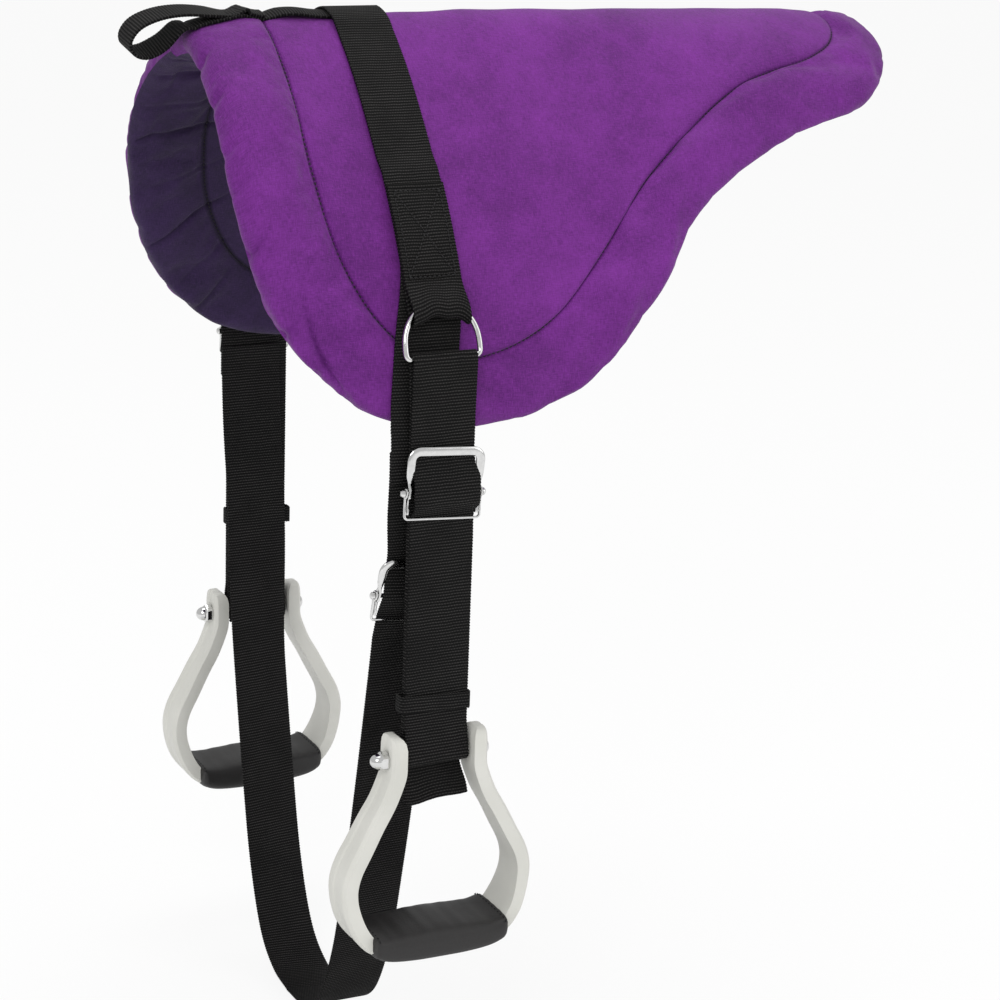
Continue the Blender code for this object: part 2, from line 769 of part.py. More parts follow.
def strap_route(side):
    """The stirrup strap's mid-line as (out from the rear layer, height), from its tail to its hook."""
    buckle_level = BUCKLE_LEVEL + ADJUSTMENT[side]
    tail = TAIL_LENGTH[side]
    bar = ring_bar_place(1)
    bar_out, bar_z = bar.y - REAR_LAYER_PLANE, bar.z
    edge = FLAP_BOTTOM + STEP_LENGTH
    rear = smooth_curve(
        [
            (REAR_AT_BOLT + TAIL_SWAY_SHARE * tail, BOLT_LEVEL - tail),
            (REAR_AT_BOLT, BOLT_LEVEL - tail / 2),
            (REAR_AT_BOLT, BOLT_LEVEL),
            (0.0, BOLT_LEVEL + STRAP_SPREAD),
        ],
        3,
    )
    rear += [Vector((0.0, (BOLT_LEVEL + FLAP_BOTTOM) / 2)), Vector((0.0, FLAP_BOTTOM))]
    wrap = []
    for i in range(9):
        turn = math.pi * (1 - i / 8)
        reach, rise = BAR_WRAP_RADIUS * math.cos(turn), BAR_WRAP_RADIUS * math.sin(turn)
        wrap.append(Vector((bar_out + reach, bar_z + rise)))
    rear += [Vector((0.0, edge))]
    top = buckle_level + BUCKLE_TOP
    over = CROSSBAR_OUT + HOOK_RADIUS
    front = smooth_curve(
        [
            (STRAP_PITCH, max(edge, top + STRAP_SPREAD / 2)),
            (STRAP_PITCH, top + BUCKLE_BAR_DEPTH),
            (STRAP_PITCH, top - BUCKLE_BAR_DEPTH),
            (CROSSBAR_OUT, buckle_level + BUCKLE_TOP / 2),
            (over, buckle_level + BUCKLE_TOP / 6),
            (over, buckle_level - LOOP_EYE_HALF),
            (2 * STRAP_PITCH, buckle_level - BUCKLE_LOWER + LOOP_WIRE_RADIUS),
            (2 * STRAP_PITCH, buckle_level - BUCKLE_LOWER - STEP_LENGTH),
        ],
        3,
    )
    front.append(Vector((2 * STRAP_PITCH, BOLT_LEVEL + STRAP_SPREAD)))
    bolt = []
    for i in range(11):
        turn = math.pi * i / 10
        reach, rise = BOLT_WRAP_RADIUS * math.cos(turn), BOLT_WRAP_RADIUS * math.sin(turn)
        bolt.append(Vector((BOLT_OUT + reach, BOLT_LEVEL - rise)))
    middle = [
        Vector((STRAP_PITCH, BOLT_LEVEL + STRAP_SPREAD)),
        Vector((STRAP_PITCH, buckle_level - BUCKLE_LOWER)),
    ]
    hook = []
    for i in range(5):
        turn = math.pi - math.radians(100) * i / 4
        reach, rise = HOOK_RADIUS * math.cos(turn), HOOK_RADIUS * math.sin(turn)
        hook.append(Vector((CROSSBAR_OUT + reach, buckle_level + rise)))
    return rear + wrap + front + bolt + middle + hook


def stirrup_strap(name, side, material, axis):
    """One strap from its hanging tail up over the ring, down through the buckle and round the bolt."""
    rows = []
    for out, z in strap_route(side):
        y = side * (REAR_LAYER_PLANE + out)
        rows.append((Vector((-WEBBING_WIDTH / 2, y, z)), Vector((WEBBING_WIDTH / 2, y, z))))
    return webbing(name, rows, WEBBING_THICKNESS, material, axis)


def keeper(name, side, material, axis):
    """A sewn elastic band round the three layers of the strap."""
    inner_out = -WEBBING_THICKNESS / 2 - GAP
    outer_out = 2 * STRAP_PITCH + WEBBING_THICKNESS / 2 + GAP
    half = WEBBING_WIDTH / 2 + GAP
    grow = KEEPER_THICKNESS / 2
    corners = []
    middle = (inner_out + outer_out) / 2
    reach = (outer_out - inner_out) / 2 + grow
    for i in range(8):
        turn = math.pi * (i + 0.5) / 8 - math.pi / 2
        corners.append((half + reach * math.cos(turn) * 0.5, middle + reach * math.sin(turn)))
    loop = [(half, middle - reach), *corners, (half, middle + reach)]
    loop += [(-x - KEEPER_SLACK, out) for x, out in reversed(loop)]
    rows = []
    level = KEEPER_LEVEL + ADJUSTMENT[side]
    for x, out in loop:
        y = side * (REAR_LAYER_PLANE + out)
        low, high = level - KEEPER_HEIGHT / 2, level + KEEPER_HEIGHT / 2
        rows.append((Vector((-side * x, y, low)), Vector((-side * x, y, high))))
    return webbing(name, rows, KEEPER_THICKNESS, material, axis, closed=True)


# Web buckles


def swept_rod(stations, place, up, out):
    """A rod through (u, v, q, half size in the plane, half depth) stations, with eight-sided sections."""
    rings = []
    count = len(stations)
    for i, (u, v, q, wide, deep) in enumerate(stations):
        before, after = stations[max(i - 1, 0)], stations[min(i + 1, count - 1)]
        run = Vector((after[0] - before[0], after[1] - before[1])).normalized()
        ring = []
        for k in range(8):
            turn = math.pi * (k + 0.5) / 4
            side_step = wide * math.cos(turn) / math.cos(math.pi / 8)
            depth_step = deep * math.sin(turn) / math.cos(math.pi / 8)
            u_point, v_point = u + run.y * side_step, v - run.x * side_step
            ring.append(place + Vector((u_point, 0.0, 0.0)) + up * v_point + out * (q + depth_step))
        rings.append(ring)
    return loft(rings)


def corner_stations(u_side, v_centre, radius, wide, deep, q_at, top):
    """Quarter turn of a rod between a leg and a cross member."""
    stations = []
    centre_u = u_side * (BUCKLE_LEG_OFFSET_FOR[top] - radius)
    for i in range(1, 4):
        turn = math.pi / 2 * i / 4
        rise = math.sin(turn) if top else -math.sin(turn)
        u = centre_u + u_side * radius * math.cos(turn)
        v = v_centre + radius * rise
        stations.append((u, v, q_at(v), wide, deep))
    return stations


LOOP_LEG_OFFSET = BUCKLE_LEG_OFFSET + LEG_PLATE_HALF + GAP + LOOP_PLATE_HALF
BUCKLE_LEG_OFFSET_FOR = {True: BUCKLE_LEG_OFFSET, False: LOOP_LEG_OFFSET}


def buckle_frame(name, place, up, out, material, axis):
    """The upper frame: a rounded bar on two legs that flatten to eyes for the crossbar."""
    rise = TOP_BAR_OUT - CROSSBAR_OUT

    def depth_at(v):
        return rise * max(v, 0.0) / BUCKLE_TOP

    leg = [
        (-BUCKLE_STEM, STEM_HALF * 1.5),
        (-BUCKLE_STEM * 0.85, STEM_HALF),
        (-EYE_HALF * 1.6, STEM_HALF),
        (-EYE_HALF, EYE_HALF),
        (EYE_HALF, EYE_HALF),
    ]
    left = [(-BUCKLE_LEG_OFFSET, v, 0.0, LEG_PLATE_HALF, deep) for v, deep in leg]
    left.append((-BUCKLE_LEG_OFFSET, PLATE_TOP, depth_at(PLATE_TOP), BUCKLE_BAR_HALF, BUCKLE_BAR_DEPTH))
    straight = BUCKLE_TOP - BUCKLE_CORNER
    left.append((-BUCKLE_LEG_OFFSET, straight, depth_at(straight), BUCKLE_BAR_HALF, BUCKLE_BAR_DEPTH))
    left += corner_stations(-1, straight, BUCKLE_CORNER, BUCKLE_BAR_HALF, BUCKLE_BAR_DEPTH, depth_at, True)
    left.append((BUCKLE_CORNER - BUCKLE_LEG_OFFSET, BUCKLE_TOP, rise, BUCKLE_BAR_HALF, BUCKLE_BAR_DEPTH))
    right = [(-u, v, q, wide, deep) for u, v, q, wide, deep in reversed(left)]
    frame = finish_mesh(name, swept_rod(left + right, place, up, out), material, axis, smooth=True)
    cut_round_hole(frame, place, CROSSBAR_RADIUS + GAP, 3 * BUCKLE_LEG_OFFSET)
    return frame


def buckle_loop(name, place, up, out, material, axis):
    """The lower wire loop, its two flattened eyes hung on the crossbar outside the frame's legs."""
    rise = LOWER_WIRE_OUT - CROSSBAR_OUT

    def depth_at(v):
        return -rise * v / BUCKLE_LOWER

    wire = LOOP_WIRE_RADIUS
    left = [
        (-LOOP_LEG_OFFSET, LOOP_EYE_HALF, 0.0, LOOP_PLATE_HALF, LOOP_EYE_HALF / 2),
        (-LOOP_LEG_OFFSET, LOOP_EYE_HALF / 2, 0.0, LOOP_PLATE_HALF, LOOP_EYE_HALF),
        (-LOOP_LEG_OFFSET, -LOOP_EYE_HALF / 2, 0.0, LOOP_PLATE_HALF, LOOP_EYE_HALF),
        (-LOOP_LEG_OFFSET, -LOOP_EYE_HALF, depth_at(-LOOP_EYE_HALF), LOOP_PLATE_HALF, wire),
    ]
    low = BUCKLE_CORNER / 2 - BUCKLE_LOWER
    left.append((-LOOP_LEG_OFFSET, low, depth_at(low), wire, wire))
    left += corner_stations(-1, low, BUCKLE_CORNER / 2, wire, wire, depth_at, False)
    left.append((BUCKLE_CORNER / 2 - LOOP_LEG_OFFSET, -BUCKLE_LOWER, rise, wire, wire))
    right = [(-u, v, q, wide, deep) for u, v, q, wide, deep in reversed(left)]
    loop = finish_mesh(name, swept_rod(left + right, place, up, out), material, axis, smooth=True)
    cut_round_hole(loop, place, CROSSBAR_RADIUS + GAP, 3 * LOOP_LEG_OFFSET)
    return loop


def crossbar(name, place, material, axis):
    """The crossbar, with a knob on each end that keeps the loop's eyes on."""
    half = LOOP_LEG_OFFSET + LOOP_PLATE_HALF + GAP
    end = half + KNOB_LENGTH
    profile = [
        (0.0, end),
        (KNOB_RADIUS * 0.7, end),
        (KNOB_RADIUS, end - KNOB_LENGTH / 3),
        (KNOB_RADIUS, half),
        (CROSSBAR_RADIUS, half),
        (CROSSBAR_RADIUS, -half),
        (KNOB_RADIUS, -half),
        (KNOB_RADIUS, KNOB_LENGTH / 3 - end),
        (KNOB_RADIUS * 0.7, -end),
        (0.0, -end),
    ]
    return turned(name, profile, place, material, axis)


# Stirrups


def stirrup_path():
    """Mid-line of one arm from its top to the middle of the bar, as (x, z, share of the way down)."""
    points = [(ARM_OFFSET, ARM_TOP * high) for _, high in reversed(ARM_TOP_SHARES)]
    points += [(STIRRUP_HALF_WIDTH * x, STIRRUP_DROP * z) for x, z in ARM_SHARES]
    return points


def arm_section(x, z, run, depth, thickness, plane, side):
    """Ten points round the moulded section: flat inside, crowned outside."""
    normal = Vector((run.y, -run.x))
    half_depth, half = depth / 2, thickness / 2
    shape = (
        (-0.86 * half_depth, -half),
        (0.0, -half),
        (0.86 * half_depth, -half),
        (half_depth, -half / 2),
        (half_depth, half * 0.36),
        (half_depth * 0.54, half * 0.84),
        (0.0, half),
        (-half_depth * 0.54, half * 0.84),
        (-half_depth, half * 0.36),
        (-half_depth, -half / 2),
    )
    return [
        Vector((x + normal.x * n, side * plane + w, BOLT_LEVEL + z + normal.y * n)) for w, n in shape
    ]


def stirrup_stations():
    """(x, z, direction, depth, thickness) for the whole bow, from the left arm's top to the right one's."""
    half = stirrup_path()
    line = [(-x, z) for x, z in half] + [(x, z) for x, z in reversed(half[:-1])]
    stations = []
    for i, (x, z) in enumerate(line):
        before, after = line[max(i - 1, 0)], line[min(i + 1, len(line) - 1)]
        run = Vector((after[0] - before[0], after[1] - before[1])).normalized()
        down = -z / STIRRUP_DROP
        depth = ARM_DEPTH + (BELL_DEPTH - ARM_DEPTH) * smooth_step(down / 0.7)
        depth += (BAR_DEPTH - BELL_DEPTH) * smooth_step((down - 0.75) / 0.2)
        if z > 0:
            depth = ARM_DEPTH * interpolate([(high, d) for d, high in ARM_TOP_SHARES], z / ARM_TOP)
        stations.append((x, z, run, depth, ARM_THICKNESS))
    return stations


def stirrup_frame(name, side, material, axis):
    rings = []
    for x, z, run, depth, thickness in stirrup_stations():
        rings.append(arm_section(x, z, run, depth, thickness, STIRRUP_PLANE, side))
    frame = finish_mesh(name, loft(rings), material, axis, smooth=True)
    place = Vector((0.0, side * STIRRUP_PLANE, BOLT_LEVEL))
    cut_round_hole(frame, place, BOLT_RADIUS + GAP, 4 * STIRRUP_HALF_WIDTH)
    return frame


def tread(name, side, material, axis):
    """The wrapped foot tread: a tube round the stirrup's bar with a padded, slightly crowned top."""
    outer_rings, inner_rings = [], []
    half_depth = TREAD_DEPTH / 2
    low = ARM_THICKNESS / 2 + TREAD_SOLE
    high = -(ARM_THICKNESS / 2 + TREAD_PAD)
    shape = (
        (-0.80 * half_depth, 0.88 * high),
        (0.0, high),
        (0.80 * half_depth, 0.88 * high),
        (half_depth, 0.60 * high),
        (half_depth, 0.35 * low),
        (0.70 * half_depth, 0.92 * low),
        (0.0, low),
        (-0.70 * half_depth, 0.92 * low),
        (-half_depth, 0.35 * low),
        (-half_depth, 0.60 * high),
    )
    limit = TREAD_HALF_LENGTH_SHARE * STIRRUP_HALF_WIDTH
    for x, z, run, depth, thickness in stirrup_stations():
        if abs(x) > limit or z > -STIRRUP_DROP / 2:
            continue
        normal = Vector((run.y, -run.x))
        ring = []
        for w, n in shape:
            ring.append(
                Vector((x + normal.x * n, side * STIRRUP_PLANE + w, BOLT_LEVEL + z + normal.y * n))
            )
        outer_rings.append(ring)
        inner_rings.append(
            arm_section(x, z, run, depth + 2 * GAP, thickness + 2 * GAP, STIRRUP_PLANE, side)
        )
    rings = outer_rings + list(reversed(inner_rings))
    return finish_mesh(name, loft(rings, closed=True), material, axis, smooth=True)


def stirrup_hardware(prefix, side, metal, axis):
    """Bolt, spacer sleeve and domed nut that join the stirrup to its strap."""
    place = Vector((0.0, side * STIRRUP_PLANE, BOLT_LEVEL))
    seat = ARM_OFFSET + ARM_THICKNESS / 2 + GAP
    tip = -(seat + NUT_HEX_HEIGHT)
    head = BOLT_HEAD_RADIUS
    bolt_profile = [
        (0.0, seat + BOLT_HEAD_HEIGHT),
        (head * 0.45, seat + BOLT_HEAD_HEIGHT * 0.94),
        (head * 0.80, seat + BOLT_HEAD_HEIGHT * 0.65),
        (head, seat + BOLT_HEAD_HEIGHT * 0.2),
        (head, seat),
        (BOLT_RADIUS, seat),
        (BOLT_RADIUS, tip),
        (0.0, tip),
    ]
    turned(prefix + "_stirrup_bolt", bolt_profile, place, metal, axis)
    inner = BOLT_RADIUS + GAP
    half = ARM_OFFSET - ARM_THICKNESS / 2 - GAP
    sleeve_profile = [
        (SLEEVE_RADIUS, half),
        (SLEEVE_RADIUS, -half),
        (inner, -half),
        (inner, half),
        (SLEEVE_RADIUS, half),
    ]
    turned(prefix + "_bolt_sleeve", sleeve_profile, place, metal, axis)
    rings = []
    corner = NUT_FLATS / 2 / math.cos(math.pi / 6)
    dome = NUT_FLATS / 2
    levels = [(0.0, True, 1.0), (NUT_HEX_HEIGHT * 0.85, True, 1.0), (NUT_HEX_HEIGHT, False, 0.92)]
    for i in range(1, 5):
        turn = math.pi / 2 * i / 5
        levels.append((NUT_HEX_HEIGHT + NUT_DOME_HEIGHT * math.sin(turn), False, 0.92 * math.cos(turn)))
    for along, hexagon, size in levels:
        ring = []
        for k in range(12):
            turn = math.pi * k / 6
            radius = (corner if k % 2 == 0 else NUT_FLATS / 2) if hexagon else dome * size
            offset = Vector((-(seat + along), radius * math.cos(turn), radius * math.sin(turn)))
            ring.append(place + offset)
        rings.append(ring)
    nut = finish_mesh(prefix + "_bolt_nut", loft(rings), metal, axis, smooth=True)
    depth = 2 * (NUT_HEX_HEIGHT + NUT_WALL)
    cut_round_hole(nut, place - Vector((seat, 0.0, 0.0)), BOLT_RADIUS + GAP, depth)


# Girth

GIRTH_PLANE = BILLET_PLANE - WEBBING_THICKNESS - GAP
GIRTH_TOP = FLAP_BOTTOM - GIRTH_TOP_BELOW_FLAP


def girth_half():
    """One side of the girth's hanging curve as (reach, height), from its top to the middle."""
    drop = GIRTH_TOP - GIRTH_BOTTOM
    points = [(GIRTH_PLANE * y, GIRTH_TOP - drop * z) for y, z in GIRTH_SHARES]
    return smooth_curve(points, GIRTH_STEPS_PER_SPAN)


def girth_at(level):
    """The girth's reach at a height, with the direction of the strap there."""
    half = girth_half()
    for a, b in zip(half, half[1:]):
        if b.y <= level:
            part = (a.y - level) / (a.y - b.y)
            return a.lerp(b, part), (a - b).normalized()
    return half[-1], Vector((0.0, 1.0))


def reach_share(drop, reach):
    """0 above a stretch below the girth's top, 1 below it, and smooth along it."""
    return smooth_step((drop - reach[0]) / (reach[1] - reach[0]))


def girth_buckle_place():
    """Crossbar place and directions for the buckle on the girth's near leg."""
    point, up = girth_at(GIRTH_BUCKLE_LEVEL)
    out = Vector((up.y, -up.x))
    centre = point + out * HOOK_RADIUS
    to_world = (
        Vector((GIRTH_SHIFT + GIRTH_SWAY, -centre.x, centre.y)),
        Vector((0.0, -up.x, up.y)),
        Vector((0.0, -out.x, out.y)),
    )
    return to_world


def girth_strap(material, axis):
    """The girth: a U of webbing between the billets, woven through the buckle on its near leg."""
    half = girth_half()
    start, up = girth_at(GIRTH_BUCKLE_LEVEL)
    out = Vector((up.y, -up.x))
    lower = LOWER_WIRE_OUT - LOOP_WIRE_RADIUS - GAP - WEBBING_THICKNESS / 2 - CROSSBAR_OUT
    weave = smooth_curve(
        [
            (0.0, BUCKLE_TOP + BUCKLE_BAR_DEPTH),
            (0.0, BUCKLE_TOP - BUCKLE_BAR_DEPTH),
            (HOOK_RADIUS, BUCKLE_TOP / 2),
            (2 * HOOK_RADIUS + GAP, BUCKLE_TOP / 6),
            (2 * HOOK_RADIUS + GAP, -LOOP_EYE_HALF),
            (HOOK_RADIUS + lower, LOOP_WIRE_RADIUS - BUCKLE_LOWER),
            (HOOK_RADIUS + lower, -BUCKLE_LOWER - LOOP_WIRE_RADIUS),
            (0.0, -BUCKLE_LOWER - STEP_LENGTH),
        ],
        3,
    )
    woven = [start + up * v + out * q for q, v in weave]
    above = [p for p in half if (p - start).dot(up) > BUCKLE_TOP + STEP_LENGTH / 2]
    below = [p for p in half if (p - start).dot(up) < -BUCKLE_LOWER - 1.5 * STEP_LENGTH]
    near = above + woven + below
    line = [Vector((-p.x, p.y)) for p in near] + list(reversed(half[:-1]))
    rows = []
    for i, (y, z) in enumerate(line):
        run = (line[min(i + 1, len(line) - 1)] - line[max(i - 1, 0)]).normalized()
        sway = GIRTH_SWAY * reach_share(GIRTH_TOP - z, GIRTH_SWAY_REACH[-1 if y < 0 else 1])
        middle = Vector((GIRTH_SHIFT + sway, y, z))
        share = reach_share(GIRTH_TOP - z, GIRTH_TWIST_REACH) * smooth_step(0.5 + y / GIRTH_PLANE)
        turn = math.radians(GIRTH_TWIST) * share
        across = Vector((math.cos(turn), run.y * math.sin(turn), -run.x * math.sin(turn)))
        rows.append((middle - across * WEBBING_WIDTH / 2, middle + across * WEBBING_WIDTH / 2))
    return webbing("girth_strap", rows, WEBBING_THICKNESS, material, axis)


# Grab handle


def handle_lie(x):
    """Height of the handle's lower layer above the pad: it dips at the stitch line and rides the border."""
    stitch_x = along_pad(STITCH_SHARES[0][0])
    dip = 1 - smooth_step(abs(x - stitch_x) / STEP_LENGTH)
    border = smooth_step((stitch_x - x) / STEP_LENGTH)
    return FLAT_HEIGHT + BORDER_CROWN * border - STITCH_DEPTH / 3 * dip


def grab_handle(material):
    """A narrow strap from under the rigging strap to the rim, looped forward and sewn back on itself."""
    across = [HANDLE_WIDTH * share for share in (-0.5, -0.25, 0.0, 0.25, 0.5)]
    leaves = -HANDLE_LEAVES_SHARE * PAD_FRONT
    tack = -HANDLE_TACK_SHARE * PAD_FRONT
    rows = []
    count = round((HANDLE_TAIL - leaves) / HANDLE_ROW_SPACING)
    for i in range(count + 1):
        x = HANDLE_TAIL + (leaves - HANDLE_TAIL) * i / count
        rows.append([on_pad(x, t, handle_lie(x)) for t in across])
    base = rows[-1][2]
    free = [rows[-2][2], base]
    for reach, high in HANDLE_SHARES:
        free.append(base + Vector((-HANDLE_REACH * reach - GAP, 0.0, HANDLE_HEIGHT * high)))
    sewn = (tack, tack + HANDLE_ROW_SPACING)
    landing = [on_pad(x, 0.0, handle_lie(x) + LAYER_PITCH) for x in sewn]
    line = smooth_curve(free + landing, 2)
    for point in line[3:-3]:
        rows.append([point + Vector((0.0, y, 0.0)) for y in across])
    for x in sewn:
        rows.append([on_pad(x, t, handle_lie(x) + LAYER_PITCH) for t in across])
    return webbing("grab_handle", rows, WEBBING_THICKNESS, material)


def build():
    for old in list(bpy.data.objects):
        bpy.data.objects.remove(old, do_unlink=True)

    purple = make_material("purple_canvas", (0.16, 0.03, 0.24), 0.85)
    lining = make_material("lining_cloth", (0.10, 0.03, 0.16), 0.9)
    foam = make_material("foam", (0.75, 0.72, 0.60), 0.95)
    black = make_material("black_webbing", (0.012, 0.012, 0.013), 0.8)
    nickel = make_material("nickel_plate", (0.78, 0.78, 0.76), 0.22, 1.0)
    polymer = make_material("stirrup_polymer", (0.66, 0.66, 0.60), 0.45)
    wrap = make_material("tread_wrap", (0.025, 0.024, 0.024), 0.6)

    pad_skin("pad_cover", False, purple)
    foam_core(foam)
    pad_skin("pad_lining", True, lining)
    rigging_strap(black)
    grab_handle(black)

    for prefix, side in SIDES:
        billet(prefix + "_billet", side, black)
        pivot, _, _ = ring_place(side)
        bar = ring_bar_place(side)
        ring_axis = make_axis(prefix + "_ring_axis", pivot)
        strap_axis = make_axis(prefix + "_strap_axis", bar, ring_axis)
        buckle_level = BUCKLE_LEVEL + ADJUSTMENT[side]
        crossbar_place = Vector((0.0, side * (REAR_LAYER_PLANE + CROSSBAR_OUT), buckle_level))
        loop_axis = make_axis(prefix + "_loop_axis", crossbar_place, strap_axis)
        bolt_place = Vector((0.0, side * STIRRUP_PLANE, BOLT_LEVEL))
        stirrup_axis = make_axis(prefix + "_stirrup_axis", bolt_place, strap_axis)
        keeper_place = Vector((0.0, side * REAR_LAYER_PLANE, KEEPER_LEVEL + ADJUSTMENT[side]))
        keeper_axis = make_axis(prefix + "_keeper_axis", keeper_place, strap_axis)
        up, out = Vector((0.0, 0.0, 1.0)), Vector((0.0, side, 0.0))

        d_ring(prefix + "_d_ring", side, nickel, ring_axis)
        stirrup_strap(prefix + "_stirrup_strap", side, black, strap_axis)
        buckle_frame(prefix + "_buckle_frame", crossbar_place, up, out, nickel, strap_axis)
        crossbar(prefix + "_buckle_bar", crossbar_place, nickel, strap_axis)
        buckle_loop(prefix + "_buckle_loop", crossbar_place, up, out, nickel, loop_axis)
        keeper(prefix + "_keeper", side, black, keeper_axis)
        stirrup_frame(prefix + "_stirrup", side, polymer, stirrup_axis)
        tread(prefix + "_tread", side, wrap, stirrup_axis)
        stirrup_hardware(prefix, side, nickel, stirrup_axis)

    girth_axis = make_axis("girth_axis", (GIRTH_SHIFT, 0.0, GIRTH_TOP - BILLET_END / 3))
    place, up, out = girth_buckle_place()
    girth_loop_axis = make_axis("girth_loop_axis", place, girth_axis)
    girth_strap(black, girth_axis)
    buckle_frame("girth_buckle_frame", place, up, out, nickel, girth_axis)
    crossbar("girth_buckle_bar", place, nickel, girth_axis)
    buckle_loop("girth_buckle_loop", place, up, out, nickel, girth_loop_axis)

    bpy.context.view_layer.update()
    for axis in [o for o in bpy.data.objects if o.type == "EMPTY"]:
        print(axis.name, [round(value, 5) for value in axis.matrix_world.translation])


build()
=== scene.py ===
# %% [markdown]
# A bareback pad is a riding pad without a tree: a thick quilted cloth saddle that lies along the horse's
# back. A webbing strap crosses it and carries a ring on each side, a long strap with a stirrup hangs from
# each ring, and a girth closes below the horse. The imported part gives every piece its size, its place and
# its joint. This lesson dresses it: sewn and puffed cloth, ribbed webbing, bright wire and moulded plastic.

import math

import bmesh
import bpy
from mathutils import Matrix, Vector, noise


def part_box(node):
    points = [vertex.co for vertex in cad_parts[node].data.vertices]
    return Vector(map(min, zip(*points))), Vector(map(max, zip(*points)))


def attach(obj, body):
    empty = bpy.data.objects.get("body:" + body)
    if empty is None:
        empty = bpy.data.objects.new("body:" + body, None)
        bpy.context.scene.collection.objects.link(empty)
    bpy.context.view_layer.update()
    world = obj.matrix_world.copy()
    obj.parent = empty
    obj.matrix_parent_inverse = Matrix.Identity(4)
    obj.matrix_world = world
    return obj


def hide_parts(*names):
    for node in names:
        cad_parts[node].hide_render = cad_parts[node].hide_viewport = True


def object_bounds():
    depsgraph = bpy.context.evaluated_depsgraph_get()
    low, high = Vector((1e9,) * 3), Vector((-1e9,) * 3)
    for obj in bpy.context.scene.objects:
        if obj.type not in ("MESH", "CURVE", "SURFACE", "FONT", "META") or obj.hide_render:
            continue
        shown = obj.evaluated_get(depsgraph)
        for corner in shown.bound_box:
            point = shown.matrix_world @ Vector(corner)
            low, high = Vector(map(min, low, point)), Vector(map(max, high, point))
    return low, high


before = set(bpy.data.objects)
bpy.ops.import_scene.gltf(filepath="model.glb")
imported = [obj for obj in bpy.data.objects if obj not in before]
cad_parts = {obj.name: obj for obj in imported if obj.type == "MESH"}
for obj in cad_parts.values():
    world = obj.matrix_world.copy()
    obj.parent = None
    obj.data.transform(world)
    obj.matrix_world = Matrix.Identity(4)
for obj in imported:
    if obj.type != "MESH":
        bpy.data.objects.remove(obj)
cad_low, cad_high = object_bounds()
bpy.ops.object.select_all(action="DESELECT")
print("packed part:", [round(b - a, 3) for a, b in zip(cad_low, cad_high)])

# %% [markdown]
# The photograph was taken from in front of the near shoulder, a little above the pad, with a long lens.
# The camera is made first, so that every piece can be judged against the photograph as it is added.

# %% Camera
CAMERA_PLACE = Vector((-0.7586, -1.6513, 0.2117))
CAMERA_TURN = math.radians(28.5)
CAMERA_DIP = math.radians(17.07)
CAMERA_ROLL = math.radians(2.2)
CAMERA_LENS = 89.8

flat_reach = math.cos(CAMERA_DIP)
ahead = Vector(
    (math.sin(CAMERA_TURN) * flat_reach, math.cos(CAMERA_TURN) * flat_reach, -math.sin(CAMERA_DIP))
)
level = Vector((math.cos(CAMERA_TURN), -math.sin(CAMERA_TURN), 0.0))
upright = level.cross(ahead)
right = level * math.cos(CAMERA_ROLL) + upright * math.sin(CAMERA_ROLL)
up = upright * math.cos(CAMERA_ROLL) - level * math.sin(CAMERA_ROLL)

bpy.ops.object.camera_add(location=CAMERA_PLACE)
camera = bpy.context.object
camera.rotation_mode = "QUATERNION"
camera.rotation_quaternion = Matrix((right, up, -ahead)).transposed().to_quaternion()
camera.data.lens = CAMERA_LENS
camera.data.sensor_width = 36
bpy.context.scene.camera = camera

# %% [markdown]
# Finishes are written as sums. A small class wraps one output of a shader node, so that adding or
# multiplying two of them adds the Math node that does it. One method makes every other kind of node.


# %% Shader sums
class Shade:
    """An output of a shader node, used as a number in a sum."""

    def __init__(self, tree, socket=None):
        self.tree = tree
        self.socket = socket

    def node(self, kind, settings, sockets, output=0):
        made = self.tree.nodes.new(kind)
        for name, value in settings.items():
            setattr(made, name, value)
        for name, value in sockets.items():
            if isinstance(value, Shade):
                self.tree.links.new(value.socket, made.inputs[name])
            else:
                made.inputs[name].default_value = value
        return Shade(self.tree, made.outputs[output])

    def maths(self, operation, first, second=0.0):
        return self.node("ShaderNodeMath", {"operation": operation}, {0: first, 1: second})

    def __add__(self, other):
        return self.maths("ADD", self, other)

    def __sub__(self, other):
        return self.maths("SUBTRACT", self, other)

    def __rsub__(self, other):
        return self.maths("SUBTRACT", other, self)

    def __mul__(self, other):
        return self.maths("MULTIPLY", self, other)

    __radd__ = __add__
    __rmul__ = __mul__

    def wave(self, length):
        """A smooth wave from 0 to 1 that repeats every length."""
        return self.maths("SINE", self * (2 * math.pi / length)) * 0.5 + 0.5

    def clamp(self, low, high):
        """0 below low, 1 above high, and smooth between."""
        settings = {"interpolation_type": "SMOOTHSTEP"}
        sockets = {"Value": self, "From Min": low, "From Max": high}
        return self.node("ShaderNodeMapRange", settings, sockets)


def mix_colour(share, first, second):
    settings = {"data_type": "RGBA"}
    return share.node("ShaderNodeMix", settings, {0: share, 6: first, 7: second}, output=2)


def noise_at(place, scale, detail=2.0, roughness=0.5):
    sockets = {"Vector": place, "Scale": scale, "Detail": detail, "Roughness": roughness}
    return place.node("ShaderNodeTexNoise", {}, sockets)


def start_finish(name):
    """A new material, with its Principled shader and a shade to build sums from."""
    material = bpy.data.materials.new(name)
    material.use_nodes = True
    tree = material.node_tree
    return material, tree.nodes["Principled BSDF"], Shade(tree)


def finish(shader, colour, roughness, relief=None, **plain):
    """Link a finish's colour, roughness and relief to its shader, and set the shader's plain values."""
    for name, value in (("Base Color", colour), ("Roughness", roughness), ("Normal", relief)):
        if value:
            value.tree.links.new(value.socket, shader.inputs[name])
    for name, value in plain.items():
        shader.inputs[name.replace("_", " ")].default_value = value


def bump(height, distance, strength=1.0):
    return height.node("ShaderNodeBump", {}, {"Height": height, "Distance": distance, "Strength": strength})


